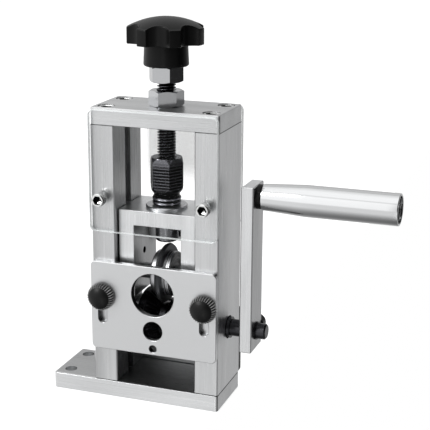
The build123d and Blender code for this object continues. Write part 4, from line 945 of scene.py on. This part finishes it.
def make_world(scene):
    world = bpy.data.worlds.new("studio")
    world.use_nodes = True
    scene.world = world
    sky = world.node_tree.nodes["Background"]
    place = add_node(world, "TexCoord").outputs["Generated"]
    apart = add_node(world, "SeparateXYZ", (place,))
    x, y, z = (apart.outputs[axis] for axis in "XYZ")
    forward = add_node(world, "Math", (y, 0.0), operation="MINIMUM")
    rightward = add_node(world, "Math", (x, times(world, forward, -0.3)), operation="ADD")
    from_seam = add_node(world, "Math", (z, 0.78), operation="SUBTRACT")
    off_seam = add_node(world, "Math", (from_seam,), operation="ABSOLUTE")
    side = math.radians(6)
    towards_card, across = (
        add_node(world, "VectorMath", (place, way), operation="DOT_PRODUCT").outputs["Value"]
        for way in (Vector((0.953, 0.179, -0.271)).normalized(), (math.cos(side), math.sin(side), 0)))
    off_strip = add_node(world, "Math", (across,), operation="ABSOLUTE")
    # White walls in front and on the left, grey ones behind and a dim one on the right with a black
    # card on it, and a seam between the walls and the ceiling. Each row tells how a value of the
    # direction moves the light, evenly or in a soft step.
    even, soft = "LINEAR", "SMOOTHSTEP"
    light = {
        name: add_node(world, "MapRange", (value, *ends), interpolation_type=step)
        for name, step, value, *ends in (
            ("above", soft, rightward, 0.05, 0.66, 1.2, 0.06),
            ("above behind", even, y, 0.0, 1.0, 1.0, 0.42),
            ("seam", even, off_seam, 0.015, 0.06, 0.72, 1.0),
            ("below", even, x, -1.0, 0.1, 1.05, 0.74),
            ("below right", soft, x, 0.1, 0.87, 1.0, 0.4),
            ("card", soft, towards_card, 0.9, 0.975, 1.0, 0.1),
            ("below behind", even, y, 0.0, 1.0, 1.0, 0.8),
            ("under", even, z, -1.0, -0.5, 0.2, 1.0),
            ("horizon", soft, z, -0.1, 0.05, 0.0, 1.0),
            # A tall narrow softbox nearly in front of the machine: the band of directions within a
            # few degrees of the upright plane that stands 6 degrees to the right of the front
            ("strip", soft, off_strip, 0.03, 0.09, 1.6, 0.0),
            ("in front", soft, y, -0.6, -0.4, 1.0, 0.0),
            ("low", soft, z, -0.15, 0.1, 1.0, 0.0),
        )}
    upper, lower, box = (
        times(world, *(light[name] for name in names))
        for names in (
            ("above", "above behind", "seam"),
            ("below", "below right", "card", "below behind", "under"),
            ("strip", "in front", "low")))
    walls = add_node(world, "Mix", {0: light["horizon"], 2: lower, 3: upper}, data_type="FLOAT")
    lit = add_node(world, "Math", (walls, box), operation="ADD")
    # The camera sees plain white, also through the guards
    rays = add_node(world, "LightPath").outputs
    through = add_node(world, "Math", (rays["Is Camera Ray"], rays["Is Transmission Ray"]), operation="MAXIMUM")
    seen = add_node(world, "Mix", {0: through, 2: lit, 3: 1.0}, data_type="FLOAT")
    set_input(sky, "Color", (1, 1, 1, 1))
    set_input(sky, "Strength", seen)


def make_lamps(scene):
    # Name, place, size in metres, power in watts, whether gloss mirrors it
    centre = Vector((0.02, 0.0, 0.09))
    for name, place, size, power, mirrored in (
        ("key_softbox", (-0.75, -0.85, 0.95), 0.5, 9.0, True),
        ("fill_softbox", (0.95, -0.75, 0.6), 0.7, 3.0, False),
        ("top_softbox", (0.1, 0.35, 1.2), 0.8, 4.0, False),
        ("rear_softbox", (-0.3, 1.1, 0.7), 0.8, 3.0, False),
    ):
        lamp = bpy.data.lights.new(name, "AREA")
        lamp.shape = "SQUARE"
        lamp.size = size
        lamp.energy = power
        holder = bpy.data.objects.new(name, lamp)
        holder.location = place
        holder.rotation_euler = (Vector(place) - centre).to_track_quat("Z", "Y").to_euler()
        holder.visible_glossy = mirrored
        scene.collection.objects.link(holder)


def make_camera(scene):
    # The photograph's view, in degrees and millimetres, as it was fitted together with the sizes
    camera = bpy.data.cameras.new("photo_camera")
    camera.lens = 96.08
    camera.sensor_width = 36.0
    camera.clip_start, camera.clip_end = 0.05, 20.0
    holder = bpy.data.objects.new("photo_camera", camera)
    azimuth, elevation, roll = (math.radians(d) for d in (19.241, 15.723, 0.401))
    target, distance = Vector((26.067, 2.0, 101.66)) * MM, 597.08 * MM
    back = Vector((
        math.sin(azimuth) * math.cos(elevation), -math.cos(azimuth) * math.cos(elevation), math.sin(elevation)))
    right = Vector((math.cos(azimuth), math.sin(azimuth), 0))
    up = back.cross(right)
    turned_right = math.cos(roll) * right + math.sin(roll) * up
    turned_up = -math.sin(roll) * right + math.cos(roll) * up
    pose = Matrix((turned_right, turned_up, back)).transposed().to_4x4()
    holder.matrix_world = Matrix.Translation(target + back * distance) @ pose
    scene.collection.objects.link(holder)
    scene.camera = holder


class STRIPPER_OT_stage(Operator):
    """Make the pale floor, the soft studio light and the camera"""

    bl_idname = "stripper.stage"
    bl_label = "Floor, Light and Camera"

    def execute(self, context):
        scene = context.scene
        scene.view_settings.view_transform = "Standard"
        make_floor(scene)
        make_world(scene)
        make_lamps(scene)
        make_camera(scene)
        return {"FINISHED"}


class STRIPPER_PT_panel(Panel):
    """Sizes, colours and steps of the wire stripping machine"""

    bl_idname = "STRIPPER_PT_panel"
    bl_label = "Wire Stripper"
    bl_space_type = "VIEW_3D"
    bl_region_type = "UI"
    bl_category = "Wire Stripper"

    def draw(self, context):
        layout = self.layout
        for group in (context.scene.stripper_sizes, context.scene.stripper_colours):
            box = layout.box()
            for name in group.__annotations__:
                box.prop(group, name)
        for step in STEPS:
            layout.operator(step.bl_idname)


STEPS = (
    STRIPPER_OT_dress_frame,
    STRIPPER_OT_guards,
    STRIPPER_OT_adjusting_screw,
    STRIPPER_OT_star_knob,
    STRIPPER_OT_coupling,
    STRIPPER_OT_socket_screws,
    STRIPPER_OT_roller_serrations,
    STRIPPER_OT_thumb_screws,
    STRIPPER_OT_handle_grip,
    STRIPPER_OT_stage,
)
CLASSES = (StripperSizes, StripperColours, *STEPS, STRIPPER_PT_panel)


def register():
    for cls in CLASSES:
        bpy.utils.register_class(cls)
    bpy.types.Scene.stripper_sizes = PointerProperty(type=StripperSizes)
    bpy.types.Scene.stripper_colours = PointerProperty(type=StripperColours)


def unregister():
    del bpy.types.Scene.stripper_colours
    del bpy.types.Scene.stripper_sizes
    for cls in reversed(CLASSES):
        bpy.utils.unregister_class(cls)


def main():
    register()
    bpy.ops.stripper.dress_frame()
    bpy.ops.stripper.guards()
    bpy.ops.stripper.adjusting_screw()
    bpy.ops.stripper.star_knob()
    bpy.ops.stripper.coupling()
    bpy.ops.stripper.socket_screws()
    bpy.ops.stripper.roller_serrations()
    bpy.ops.stripper.thumb_screws()
    bpy.ops.stripper.handle_grip()
    bpy.ops.stripper.stage()


if __name__ == "__main__":
    main()
